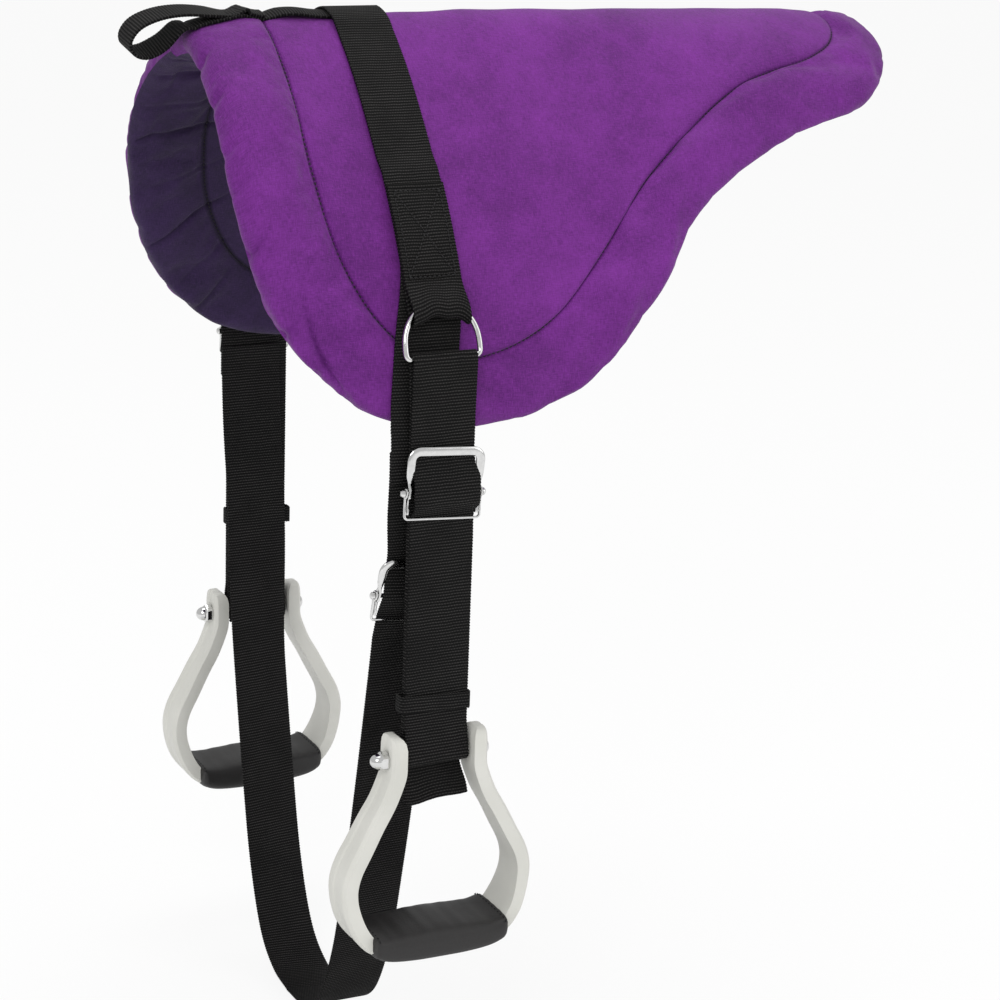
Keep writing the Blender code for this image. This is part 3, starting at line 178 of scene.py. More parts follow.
def flat_position(shade, name):
    """A piece's own cloth map, and its two directions in metres."""
    place = shade.node("ShaderNodeUVMap", {"uv_map": name}, {})
    return place, *(place.node("ShaderNodeSeparateXYZ", {}, {0: place}, k) for k in (0, 1))


# %% [markdown]
# The cover is a stout plain-weave canvas, dyed purple. Seen close, warp and weft threads a half millimetre
# wide cross each other; seen from a step away the cloth shows faint slubs and paler worn spots.

# %% Canvas finish
THREAD_PITCH = 0.0011
STITCH_PITCH = 0.0036
CLOTH_MAP = "cloth"
SEAM_MAP = "seam"
# Name of the mesh mark that carries painted shade for tucks and creases.
CREASE_SHADE_MARK = "marked_crease_shade"
BORDER_WIDTH = 0.065


def thread_streaks(place, along, across):
    """Uneven threads, long one way and narrow the other."""
    settings = {"operation": "MULTIPLY"}
    stretched = place.node("ShaderNodeVectorMath", settings, {0: place, 1: (along, across, 1.0)})
    return noise_at(stretched, 1.0, 2.0, 0.6)


def canvas_finish(name, dark, light, groove_shade, groove_width, dots):
    """Canvas darkened along its sewn crease as painted shade and as dark stitches, broken into dots by the
    share dots, and darkened as painted shade where the crease shade mark lies.
    """
    material, shader, shade = start_finish(name)
    # The mesh's mark of painted shade in tucks and creases.
    marked_crease_shade = shade.node("ShaderNodeAttribute", {"attribute_name": CREASE_SHADE_MARK}, {}, output=2)
    place, along, across = flat_position(shade, CLOTH_MAP)
    _, run, share = flat_position(shade, SEAM_MAP)
    over = along.wave(THREAD_PITCH)
    under = across.wave(THREAD_PITCH)
    weave = over * (1.0 - under) + under * (1.0 - over)
    warp = thread_streaks(place, 190.0, 1500.0)
    weft = thread_streaks(place, 1500.0, 190.0)
    flecks = noise_at(place, 700.0, 2.0, 0.7).clamp(0.62, 0.78)
    clouds = noise_at(place, 11.0, 3.0)
    worn = noise_at(place, 55.0, 4.0, 0.65)
    on_border = (1.0 - share) * BORDER_WIDTH
    from_line = on_border.maths("MAXIMUM", on_border, share - 1.0)
    beat = run.wave(STITCH_PITCH)
    # Painted shade in the crease of the sewn line, broken into dots that also stand for the dark stitches.
    stitches_and_crease_shade = (1.0 - from_line.clamp(groove_width * 0.15, groove_width)) * (beat * dots + (1.0 - dots))
    tone = clouds * 0.42 + worn * 0.30 + warp * 0.42 + weft * 0.44 + weave * 0.12
    # The colour is darkened by painted shade along the sewn crease and where the mesh's crease shade mark
    # lies.
    tone = tone.clamp(0.55, 1.17) * (1.0 - stitches_and_crease_shade * groove_shade) * (1.0 - marked_crease_shade * 0.6)
    cloth = mix_colour(tone, (*dark, 1.0), (*light, 1.0))
    pale = mix_colour(flecks * 0.30, cloth, tuple(min(c * 2.2, 1.0) for c in light) + (1.0,))
    relief = bump(weave * 0.35 + warp * 1.0 + weft * 1.0 + worn * 1.2 - stitches_and_crease_shade * 1.2, 0.0004, 0.75)
    plain = {"Sheen_Weight": 0.10, "Sheen_Roughness": 0.4, "Specular_IOR_Level": 0.25}
    finish(shader, pale, worn * 0.20 + 0.66, relief, **plain)
    return material


PURPLE = ((0.076, 0.0050, 0.115), (0.222, 0.030, 0.318))
DUSK = ((0.012, 0.006, 0.026), (0.050, 0.023, 0.094))
purple_canvas = canvas_finish("purple_canvas", *PURPLE, 0.85, 0.0018, 0.7)
lining_cloth = canvas_finish("lining_cloth", *DUSK, 0.90, 0.0034, 0.1)

# %% [markdown]
# Webbing is woven with a thick weft, so it shows ribs straight across the strap every two millimetres. Each
# rib is a row of small beads where warp threads pass over it, a half step apart from one rib to the next.

# %% Webbing finish
RIB_PITCH = 0.0022
BEAD_PITCH = 0.0022
WEBBING_WIDTH = 0.050


def webbing_finish():
    material, shader, shade = start_finish("black_webbing")
    place, across, along = flat_position(shade, CLOTH_MAP)
    wander = noise_at(place, 60.0, 2.0) * (RIB_PITCH * 0.6)
    wavy = along + wander
    ribs = wavy.wave(RIB_PITCH)
    every_other = wavy.wave(RIB_PITCH * 2).clamp(0.35, 0.65)
    beads = (across + every_other * (BEAD_PITCH / 2)).wave(BEAD_PITCH)
    fuzz = noise_at(place, 1100.0, 2.0, 0.6)
    dust = noise_at(place, 35.0, 4.0, 0.6)
    # The colour is darker between the ribs and beads: partly the weave's own pattern, partly painted shade in
    # the valleys between them.
    beads_and_valley_shade = ribs.clamp(0.20, 0.95) * (beads * 0.5 + 0.5)
    tone = beads_and_valley_shade * (fuzz * 0.9 + dust * 0.7)
    colour = mix_colour(tone.clamp(0.10, 0.95), (0.0011, 0.0011, 0.0012, 1.0), (0.043, 0.041, 0.040, 1.0))
    relief = bump(beads_and_valley_shade * 1.0 + fuzz * 0.2, 0.0007, 0.9)
    finish(shader, colour, fuzz * 0.2 + 0.58, relief, Specular_IOR_Level=0.13)
    return material


# %% [markdown]
# The rings, buckles and bolts are bent and pressed from steel and plated bright. The plating is a mirror
# with a slight, uneven haze.

# %% Metal and plastic finishes


def object_finish(name):
    """A new material, its shader, and the place on the object itself."""
    material, shader, shade = start_finish(name)
    return material, shader, shade.node("ShaderNodeTexCoord", {}, {}, output=3)


def plated_finish():
    material, shader, place = object_finish("nickel_plate")
    haze = noise_at(place, 260.0, 4.0, 0.7)
    colour = mix_colour(haze, (0.58, 0.58, 0.58, 1.0), (0.86, 0.86, 0.85, 1.0))
    finish(shader, colour, haze * 0.12 + 0.06, bump(haze, 0.00003, 0.2), Metallic=1.0)
    return material


def polymer_finish():
    material, shader, place = object_finish("stirrup_polymer")
    grain = noise_at(place, 1400.0, 2.0)
    clouds = noise_at(place, 25.0, 3.0)
    colour = mix_colour(clouds, (0.60, 0.60, 0.55, 1.0), (0.75, 0.745, 0.70, 1.0))
    finish(shader, colour, grain * 0.2 + 0.32, bump(grain, 0.0001, 0.4))
    return material


def wrap_finish():
    material, shader, place = object_finish("tread_wrap")
    grain = noise_at(place, 700.0, 3.0, 0.6)
    wear = noise_at(place, 40.0, 3.0)
    colour = mix_colour(grain * 0.5 + wear * 0.5, (0.004, 0.004, 0.004, 1.0), (0.026, 0.024, 0.024, 1.0))
    finish(shader, colour, wear * 0.3 + 0.35, bump(grain, 0.0003, 0.5))
    return material


FINISHES = {
    "black_webbing": webbing_finish(),
    "nickel_plate": plated_finish(),
    "stirrup_polymer": polymer_finish(),
    "tread_wrap": wrap_finish(),
}

# %% [markdown]
# The pad is cut flat and sewn, and then bends over the horse. Its outline and its sewn line are laid out on
# the flat cloth: x runs along the spine and t runs down from it. One function carries a flat point to its
# place on the draped pad, so the cloth, the straps that lie on it and the stitches all agree.

# %% The draped shape
SIDES = (("near", -1), ("off", 1))
PROFILE_STEPS = 120
PAD_FRONT = 0.135
PAD_REAR = 0.447
FLAP_DROP = 0.330
PAD_THICKNESS = 0.018
RIDGE_RISE = 0.018

OUTLINE_SHARES = (
    (-0.970, 0.000), (-1.000, 0.212), (-0.980, 0.475), (-0.835, 0.738), (-0.465, 0.930), (0.045, 1.000),
    (0.240, 0.958), (0.400, 0.772), (0.520, 0.568), (0.712, 0.424), (0.888, 0.334), (0.976, 0.194),
    (1.000, 0.000)
)
STITCH_SHARES = (
    (-0.533, 0.000), (-0.533, 0.212), (-0.533, 0.439), (-0.452, 0.636), (-0.222, 0.788), (0.045, 0.848),
    (0.187, 0.803), (0.303, 0.664), (0.427, 0.485), (0.629, 0.294), (0.813, 0.206), (0.888, 0.121),
    (0.908, 0.000)
)
FRONT_SLOPES = ((0.0, 4), (0.09, 20), (0.24, 40), (0.36, 58), (0.48, 72), (0.67, 82), (1.0, 86))
MIDDLE_SLOPES = (
    (0.0, 6), (0.045, 26), (0.106, 42), (0.242, 50), (0.424, 55), (0.636, 64.5), (0.82, 79), (1.0, 90)
)
REAR_SLOPES = ((0.0, 4), (0.09, 24), (0.21, 42), (0.36, 52), (0.61, 60), (1.0, 70))
RIDGE_SHARES = (
    (-1.20, -0.35), (-1.00, 0.00), (-0.87, 0.50), (-0.67, 0.83), (-0.55, 0.97), (-0.33, 0.90),
    (-0.16, 0.89), (0.06, 0.89), (0.20, 0.98), (0.45, 0.92), (0.67, 0.81), (0.83, 0.74), (0.92, 0.56),
    (1.00, 0.00)
)


def smooth_step(value):
    value = min(max(value, 0.0), 1.0)
    return value * value * (3 - 2 * value)


def interpolate(table, position):
    if position <= table[0][0]:
        return table[0][1]
    for (x0, y0), (x1, y1) in zip(table, table[1:]):
        if position <= x1:
            return y0 + (y1 - y0) * (position - x0) / (x1 - x0)
    return table[-1][1]


def smooth_curve(points, per_span):
    """A smooth curve through the points, with per_span points to a span, or a number for each span."""
    points = [Vector(p) for p in points]
    ends = [2 * points[0] - points[1], *points, 2 * points[-1] - points[-2]]
    curve, starts = [], []
    for p0, p1, p2, p3 in zip(ends, ends[1:], ends[2:], ends[3:]):
        steps = per_span if isinstance(per_span, int) else per_span[len(starts)]
        starts.append(p1)
        for step in range(steps):
            s = step / steps
            bend = 2 * p0 - 5 * p1 + 4 * p2 - p3
            twist = 3 * p1 - p0 - 3 * p2 + p3
            curve.append(p1 + 0.5 * s * ((p2 - p0) + s * (bend + s * twist)))
    curve.append(points[-1])
    return curve


def slope_profile(slopes):
    step = FLAP_DROP / PROFILE_STEPS
    reach, fall, profile = 0.0, 0.0, [(0.0, 0.0)]
    for i in range(int(PROFILE_STEPS * 1.15)):
        angle = math.radians(interpolate(slopes, (i + 0.5) / PROFILE_STEPS))
        reach += step * math.cos(angle)
        fall += step * math.sin(angle)
        profile.append((reach, fall))
    return profile


PROFILES = [slope_profile(slopes) for slopes in (FRONT_SLOPES, MIDDLE_SLOPES, REAR_SLOPES)]


def along_pad(share):
    return share * (PAD_FRONT if share < 0 else PAD_REAR)


def draped(x, t):
    """The place on the pad's outer face above x on the spine and t down from it."""
    share = x / (PAD_FRONT if x < 0 else PAD_REAR)
    front = 1 - smooth_step((share + 1.10) / 0.95)
    rear = smooth_step((share - 0.27) / 0.45)
    weights = (front, (1 - front) * (1 - rear), (1 - front) * rear)
    position = abs(t) / FLAP_DROP * PROFILE_STEPS
    index = min(int(position), len(PROFILES[0]) - 2)
    part = position - index
    reach = fall = 0.0
    for weight, profile in zip(weights, PROFILES):
        (y0, z0), (y1, z1) = profile[index], profile[index + 1]
        reach += weight * (y0 + (y1 - y0) * part)
        fall += weight * (z0 + (z1 - z0) * part)
    rise = RIDGE_RISE * interpolate(RIDGE_SHARES, share)
    return Vector((x, math.copysign(reach, t), rise - fall))


def pad_normal(x, t):
    along = draped(x + 0.002, t) - draped(x - 0.002, t)
    across = draped(x, t + 0.002) - draped(x, t - 0.002)
    return along.cross(across).normalized()


def on_pad(x, t, height):
    return draped(x, t) + height * pad_normal(x, t)


print("flap's lower edge:", [round(v, 3) for v in draped(along_pad(0.045), FLAP_DROP)])

# %% [markdown]
# The pad is one closed bag of cloth: cover above, lining below, sewn together at the rim and again on the
# quilting line. It is made as rings of points from the rim inwards, thin at the seams. A cloth simulation
# with a little air pressure then puffs the border and draws the cloth into the seams as real sewing does.

# %% Mesh helpers


def add_mesh(name, points, faces):
    mesh = bpy.data.meshes.new(name)
    mesh.from_pydata([tuple(p) for p in points], [], faces)
    piece = bpy.data.objects.new(name, mesh)
    bpy.context.scene.collection.objects.link(piece)
    return piece


def use_only(piece):
    bpy.ops.object.select_all(action="DESELECT")
    piece.select_set(True)
    bpy.context.view_layer.objects.active = piece


def edit_all(piece, *steps):
    """Run (operator, settings) steps on the whole piece in edit mode."""
    use_only(piece)
    bpy.ops.object.mode_set(mode="EDIT")
    bpy.ops.mesh.select_all(action="SELECT")
    for step, settings in steps:
        step(**settings)
    bpy.ops.object.mode_set(mode="OBJECT")


def modify(piece, name, kind, **settings):
    """Add a modifier to the active piece, set it and apply it."""
    modifier = piece.modifiers.new(name, kind)
    for key, value in settings.items():
        setattr(modifier, key, value)
    bpy.ops.object.modifier_apply(modifier=name)


def round_edges(piece, width, segments, degrees):
    limit = {"limit_method": "ANGLE", "angle_limit": math.radians(degrees)}
    modify(piece, "Edge", "BEVEL", width=width, segments=segments, **limit)


def subdivide(piece, levels):
    modify(piece, "Smooth", "SUBSURF", levels=levels, render_levels=levels)


def dress(piece, slot, body, node=None, material=None):
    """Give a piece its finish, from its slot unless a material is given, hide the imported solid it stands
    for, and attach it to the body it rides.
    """
    piece.data.materials.clear()
    piece.data.materials.append(material or FINISHES[slot])
    if node:
        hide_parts(node)
    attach(piece, body)
    return piece


def add_primitive(name, operator, **settings):
    bpy.ops.object.select_all(action="DESELECT")
    operator(**settings)
    piece = bpy.context.object
    piece.name = piece.data.name = name
    return piece


def lengths_along(points):
    """The length run at each point of a line."""
    lengths = [0.0]
    for a, b in zip(points, points[1:]):
        lengths.append(lengths[-1] + (b - a).length)
    return lengths


# %% Rows of the bag
BORDER_CROWN = 0.0020
STITCH_DEPTH = 0.0040
SPAN_POINTS = (24, 24, 24, 22, 14, 8, 8, 8, 8, 8, 8, 8)
RIM_ROUND = 0.22
BORDER_PILLOW = 0.018
FIELD_PILLOW = 0.013
BORDER_SHARES = (0, 0.03, 0.07, 0.11, 0.155, 0.21, 0.27, 0.34, 0.42, 0.50, 0.58, 0.65, 0.715, 0.77)
BORDER_SHARES += (0.82, 0.865, 0.90, 0.93, 0.955, 0.978, 1)
FIELD_DISTANCES = (0.0010, 0.0022, 0.0036, 0.0053, 0.0075, 0.0105, 0.0145, 0.0195)
FIELD_ROWS = 22


def pillow(distance, reach):
    """Fall of a quilted face near a sewn line: 0 at reach, 1 at the line, with a crease there."""
    near = min(max(1 - distance / reach, 0.0), 1.0)
    return 1 - math.sqrt(1 - near**2)


def border_height(share, width):
    near_rim = min(max(1 - share / RIM_ROUND, 0.0), 1.0)
    rise = math.sqrt(1 - near_rim**2)
    fall = pillow((1 - share) * width, BORDER_PILLOW)
    top = (PAD_THICKNESS / 2 + BORDER_CROWN) * rise
    return -PAD_THICKNESS / 2 + top - (BORDER_CROWN + STITCH_DEPTH) * fall


def pad_line(shares):
    return smooth_curve([(along_pad(x), t * FLAP_DROP) for x, t in shares], SPAN_POINTS)


outline = pad_line(OUTLINE_SHARES)
stitch_line = pad_line(STITCH_SHARES)
last = len(outline) - 1
spine = []
for i in range(last + 1):
    x0, x1 = stitch_line[0].x, stitch_line[-1].x
    spine.append(Vector((x0 + (x1 - x0) * (0.10 + 0.82 * i / last), 0.0)))
run_lengths = lengths_along(outline)
print("rim of one half:", round(run_lengths[-1], 3), "m in", last, "steps")

# %% Points of one face of the bag


def face_rows(i):
    """(flat place, height, seam place) of each row from the rim to the spine at outline point i."""
    rim, sewn, middle = outline[i], stitch_line[i], spine[i]
    width, depth = (sewn - rim).length, (middle - sewn).length
    rows = []
    for share in BORDER_SHARES:
        rows.append((rim.lerp(sewn, share), border_height(share, width), share))
    for distance in FIELD_DISTANCES:
        height = -STITCH_DEPTH * pillow(distance, FIELD_PILLOW)
        rows.append((sewn.lerp(middle, distance / depth), height, 1 + distance))
    start = FIELD_DISTANCES[-1]
    for k in range(1, FIELD_ROWS + 1):
        distance = start + (depth - start) * k / FIELD_ROWS
        rows.append((sewn.lerp(middle, distance / depth), 0.0, 1 + distance))
    return rows


half_rows = [face_rows(i) for i in range(last + 1)]
row_count = len(half_rows[0])


def pad_face(under):
    """Points, quads, flat places and seam places of the cover, or of the lining under it."""
    points, quads, flats, seams = [], [], [], []
    order = [(-1, i) for i in range(last + 1)] + [(1, i) for i in range(last - 1, 0, -1)]
    for row in range(row_count):
        for side, i in order:
            flat, height, share = half_rows[i][row]
            t = side * max(flat.y, 0.0)
            points.append(on_pad(flat.x, t, -PAD_THICKNESS - height if under else height))
            flats.append((flat.x, t))
            seams.append((side * run_lengths[i], share))
    width = len(order)
    for row in range(row_count - 1):
        for k in range(width):
            m = (k + 1) % width
            a, b, c, d = row * width + k, row * width + m, (row + 1) * width + m, (row + 1) * width + k
            quads.append((d, c, b, a) if under else (a, b, c, d))
    return points, quads, flats, seams


cover_points, cover_quads, cover_flats, cover_seams = pad_face(False)
under_points, under_quads, under_flats, under_seams = pad_face(True)
shift = len(cover_points)
under_quads = [tuple(i + shift for i in quad) for quad in under_quads]
bag = add_mesh("pad_bag", cover_points + under_points, cover_quads + under_quads)
for name, places in ((CLOTH_MAP, cover_flats + under_flats), (SEAM_MAP, cover_seams + under_seams)):
    layer = bag.data.uv_layers.new(name=name)
    for loop in bag.data.loops:
        layer.data[loop.index].uv = places[loop.vertex_index]

# %% Sew the two faces together
RIM_TURN_SHARE = 0.03
RIM_TURN_FADE = 0.04
SHARE_SLACK = 0.001
bag.data.materials.append(purple_canvas)
bag.data.materials.append(lining_cloth)
for polygon in bag.data.polygons:
    inside = all(v >= shift for v in polygon.vertices)
    places = [under_seams[v - shift] if v >= shift else cover_seams[v] for v in polygon.vertices]
    seam_share = sum(share for _, share in places) / 4
    turn = RIM_TURN_SHARE * (1 - smooth_step(polygon.center.y / RIM_TURN_FADE))
    polygon.material_index = 1 if inside and seam_share > turn - SHARE_SLACK else 0
merge = (bpy.ops.mesh.remove_doubles, {"threshold": 0.00002})
outwards = (bpy.ops.mesh.normals_make_consistent, {"inside": False})
edit_all(bag, merge, outwards)
print("bag:", len(bag.data.vertices), "points,", len(bag.data.polygons), "faces")

# %% [markdown]
# Pressure blows the border up as its filling would. The rim, the sewn line and the field inside it are
# pinned, and so is the cloth under a strap. The cloth is cut two hundredths too large, so it wrinkles where
# it has nowhere to go. How far any point may move is capped, because real filling is firm.

# %% Puff the border
PUFF_FRAMES = 20
PUFF_LIMIT = 0.0030
PIN_MARGIN = 0.06
STRAP_MIDDLE = -0.004
STRAP_CLEAR = WEBBING_WIDTH / 2 + 0.004
STRAP_FADE = 0.022
HANDLE_CLEAR, HANDLE_FADE = 0.016, 0.014
HANDLE_TAIL_END = 0.02


def map_places(mesh, name):
    """The place of each point in one of the cloth's maps."""
    places = [None] * len(mesh.vertices)
    for loop in mesh.loops:
        places[loop.vertex_index] = mesh.uv_layers[name].data[loop.index].uv.copy()
    return places


def strap_hold(flat):
    """1 under a strap, falling to 0 beside it."""
    under_rigging = 1 - smooth_step((abs(flat.x - STRAP_MIDDLE) - STRAP_CLEAR) / STRAP_FADE)
    under_handle = 1 - smooth_step((abs(flat.y) - HANDLE_CLEAR) / HANDLE_FADE)
    return under_rigging if flat.x > HANDLE_TAIL_END else max(under_rigging, under_handle)


rest_points = [v.co.copy() for v in bag.data.vertices]
bag_seams = map_places(bag.data, SEAM_MAP)
bag_flats = map_places(bag.data, CLOTH_MAP)
pins = bag.vertex_groups.new(name="pins")
free_share = []
for index, (seam, flat) in enumerate(zip(bag_seams, bag_flats)):
    free = min(seam.y / PIN_MARGIN, (1 - seam.y) / PIN_MARGIN, 1.0) if seam.y <= 1 else 0.0
    free *= 1 - strap_hold(flat)
    free_share.append(free)
    pins.add([index], 1.0 if free < 0.05 else 0.0, "REPLACE")

cloth = bag.modifiers.new("Cloth", "CLOTH")
settings = cloth.settings
settings.quality = 5
settings.mass = 0.2
settings.tension_stiffness = 15
settings.compression_stiffness = 15
settings.shear_stiffness = 5
settings.bending_stiffness = 0.3
settings.use_pressure = True
settings.uniform_pressure_force = 4
settings.shrink_min = -0.02
settings.vertex_group_mass = "pins"
settings.effector_weights.gravity = 0
for frame_number in range(1, PUFF_FRAMES + 1):
    bpy.context.scene.frame_set(frame_number)
use_only(bag)
bpy.ops.object.modifier_apply(modifier="Cloth")
bpy.context.scene.frame_set(1)
largest = 0.0
for vertex, rest, free in zip(bag.data.vertices, rest_points, free_share):
    move = vertex.co - rest
    if move.length > PUFF_LIMIT * free:
        move = move.normalized() * PUFF_LIMIT * free
    vertex.co = rest + move
    largest = max(largest, move.length)
print("largest move:", round(largest * 1000, 1), "mm")

# %% [markdown]
# Sewing and use leave their own marks, which the pressure alone doesn't make: the rim is lumpy where the
# filling has gathered, the border has tucks that start at the rim, and the lining, which is on the inside of
# the curve, has too much cloth and folds across. These are small moves along the cloth's own normals, read
# from where each point lies along the rim and how far in from it. The deeper tucks and creases, and a fold on
# each flap, also get a mark on the mesh that the canvas finish darkens as painted shade.

# %% Lumps, tucks and creases
TUCK_SPACING, TUCK_WIDTH, TUCK_DEPTH = 0.034, 0.0040, 0.0036
CREASE_SPACING, CREASE_WIDTH, CREASE_DEPTH = 0.043, 0.0026, 0.0026
WAVE_HEIGHT = 0.0010
LUMP_HEIGHT = 0.0022
FOLD_WIDTH, FOLD_DEPTH = 0.0055, 0.0045


def bell(value, centre, width):
    return math.exp(-(((value - centre) / width) ** 2))


def pseudo(number):
    """A fixed fraction from 0 to 1 for a whole number."""
    return (math.sin(number * 12.9898) * 43758.5453) % 1.0


def tuck_marks(run, side, spacing, width):
    """How deep a point lies in the nearest of a row of uneven tucks, from 0 to 1."""
    number = math.floor(run / spacing)
    depth = 0.0
    for k in (number - 1, number, number + 1):
        seed = k * 2 + (1 if side > 0 else 0)
        place = (k + 0.2 + 0.6 * pseudo(seed)) * spacing
        depth = max(depth, bell(run, place, width) * (0.35 + 0.65 * pseudo(seed + 0.5)))
    return depth


use_only(bag)
creases = bag.data.attributes.new("crease_edge", "FLOAT", "EDGE")
for edge in bag.data.edges:
    on_line = all(abs(bag_seams[v].y - 1) < 0.0001 for v in edge.vertices)
    creases.data[edge.index].value = 1.0 if on_line else 0.0
subdivide(bag, 1)

bag_seams = map_places(bag.data, SEAM_MAP)
bag_flats = map_places(bag.data, CLOTH_MAP)
linings = set()
for polygon in bag.data.polygons:
    if polygon.material_index == 1:
        linings.update(polygon.vertices)
normals = [v.normal.copy() for v in bag.data.vertices]
# A mark on each point of how much painted shade the canvas finish puts there.
crease_shade_marks = bag.data.attributes.new(CREASE_SHADE_MARK, "FLOAT", "POINT")
for index, vertex in enumerate(bag.data.vertices):
    seam, flat = bag_seams[index], bag_flats[index]
    run, side = abs(seam.x), 1 if seam.x > 0 else -1
    share = min(seam.y, 1.0)
    free = 1 - strap_hold(flat)
    front = 1 - 0.65 * smooth_step((run - 0.30) / 0.20)
    place = Vector((flat.x, flat.y, 0.0))
    move = WAVE_HEIGHT * noise.noise(place * 24 + Vector((0, 0, index in linings)))
    on_border = smooth_step(share / 0.05) * smooth_step((1 - share) / 0.15) if seam.y <= 1 else 0.0
    lumps = noise.noise(Vector((run * 34, side * 9.1, share * 1.5)))
    move += on_border * LUMP_HEIGHT * lumps * front
    if index in linings:
        cross = tuck_marks(run, side, CREASE_SPACING, CREASE_WIDTH)
        spread = smooth_step(share / 0.10) * (1.0 if seam.y <= 1 else 1 - smooth_step((seam.y - 1) / 0.035))
        valley = 1 if seam.y > 1 else 1 - 0.6 * bell(share, 1.0, 0.06)
        move -= CREASE_DEPTH * cross * spread * valley * front
        # Painted shade, kept as a mark on the mesh, in the lining's deeper creases.
        dark = max(cross - 0.35, 0.0) * spread * front * 1.3
    else:
        tucks = tuck_marks(run + share * 0.012, side, TUCK_SPACING, TUCK_WIDTH)
        near_rim = bell(share, 0.07, 0.13)
        move -= TUCK_DEPTH * tucks * near_rim * front
        flap_fold = bell(run, 0.320 - 0.22 * (share - 0.05), FOLD_WIDTH) * bell(share, 0.20, 0.14)
        move -= FOLD_DEPTH * flap_fold * (1 if side < 0 else 0.3)
        # Painted shade, kept as a mark on the mesh, in the cover's deeper tucks and in the flap's fold,
        # stronger on the near side.
        dark = max(tucks - 0.40, 0.0) * near_rim * front * 1.2 + flap_fold * (0.8 if side < 0 else 0.2)
    crease_shade_marks.data[index].value = dark * free
    vertex.co += normals[index] * move * free
bag.data.update()

# %% Cover and lining as two pieces
edit_all(bag, (bpy.ops.mesh.separate, {"type": "MATERIAL"}))
faces = list(bpy.context.selected_objects)
pad_cover = next(o for o in faces if o.data.materials[0] == purple_canvas)
pad_lining = next(o for o in faces if o.data.materials[0] == lining_cloth)

for cloth, name, slot, nodes in (
    (pad_cover, "quilted_cover", "purple_canvas", ("pad_cover", "foam_core")),
    (pad_lining, "quilted_lining", "lining_cloth", ("pad_lining",))
):
    cloth.name = name
    use_only(cloth)
    bpy.ops.object.shade_smooth()
    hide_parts(*nodes)
    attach(cloth, "pad_body")
    print(name, len(cloth.data.polygons), "faces")

# %% [markdown]
# The sewn line is a lockstitch in dark thread. One stitch is modelled, as a short rounded bead, and copied
# along the crease at the pitch of a sewing machine, on the cover and again on the lining.

# %% Stitches
STITCH_LENGTH = 0.0026
STITCH_RADIUS = 0.00055

thread, thread_shader, thread_place = object_finish("dark_thread")
strands = noise_at(thread_place, 2500.0, 1.0)
dyed = mix_colour(strands, (0.001, 0.001, 0.001, 1), (0.005, 0.004, 0.006, 1))
finish(thread_shader, dyed, strands * 0.2 + 0.6)

bead = {"segments": 6, "ring_count": 5, "radius": 1.0}
one_stitch = add_primitive("one_stitch", bpy.ops.mesh.primitive_uv_sphere_add, **bead)
bead_size = (STITCH_RADIUS, STITCH_RADIUS * 0.8, STITCH_LENGTH / 2)
edit_all(one_stitch, (bpy.ops.transform.resize, {"value": bead_size}))
stitch_points = [v.co.copy() for v in one_stitch.data.vertices]
stitch_faces = [tuple(p.vertices) for p in one_stitch.data.polygons]
bpy.data.objects.remove(one_stitch)


def add_stitches(name, lines, body, pitch=STITCH_PITCH):
    """Stitches along lines of (point, outward normal) pairs, as one piece."""
    points, quads = [], []
    for line in lines:
        travelled, target = 0.0, pitch / 2
        for (a, normal), (b, _) in zip(line, line[1:]):
            length = (b - a).length
            while length and travelled + length >= target:
                middle = a.lerp(b, (target - travelled) / length)
                along = (b - a).normalized()
                across = normal.cross(along).normalized()
                turn = Matrix((across, along.cross(across), along)).transposed()
                start = len(points)
                points += [middle + turn @ p for p in stitch_points]
                quads += [tuple(i + start for i in face) for face in stitch_faces]
                target += pitch
            travelled += length
    stitches = add_mesh(name, points, quads)
    use_only(stitches)
    bpy.ops.object.shade_smooth()
    dress(stitches, "black_webbing", body, material=thread)
    print(name, len(points) // len(stitch_points), "stitches")


def seam_line(side, height):
    fine = smooth_curve([(along_pad(x), t * FLAP_DROP) for x, t in STITCH_SHARES], 24)
    return [(on_pad(p.x, side * max(p.y, 0.0), height), pad_normal(p.x, side * p.y)) for p in fine]


cover_lines = [seam_line(side, 0.0004 - STITCH_DEPTH) for side in (-1, 1)]
under_lines = [seam_line(side, STITCH_DEPTH - PAD_THICKNESS - 0.0004) for side in (-1, 1)]
add_stitches("cover_stitches", cover_lines, "pad_body")
add_stitches("lining_stitches", [[(p, -n) for p, n in line] for line in under_lines], "pad_body")

# %% [markdown]
# Every strap is the same thing: a flat ribbon of webbing that follows a line. A grid is added at the strap's
# size, its rows are laid along the line, and Solidify gives the cloth its thickness. The grid's own map is
# kept in metres, so the ribs run straight across however the strap bends.

# %% Strap helper
WEBBING_THICKNESS = 0.0020
ACROSS = 9
TOOTH_STEP = RIB_PITCH / 2
TOOTH_DEPTH = 0.0005


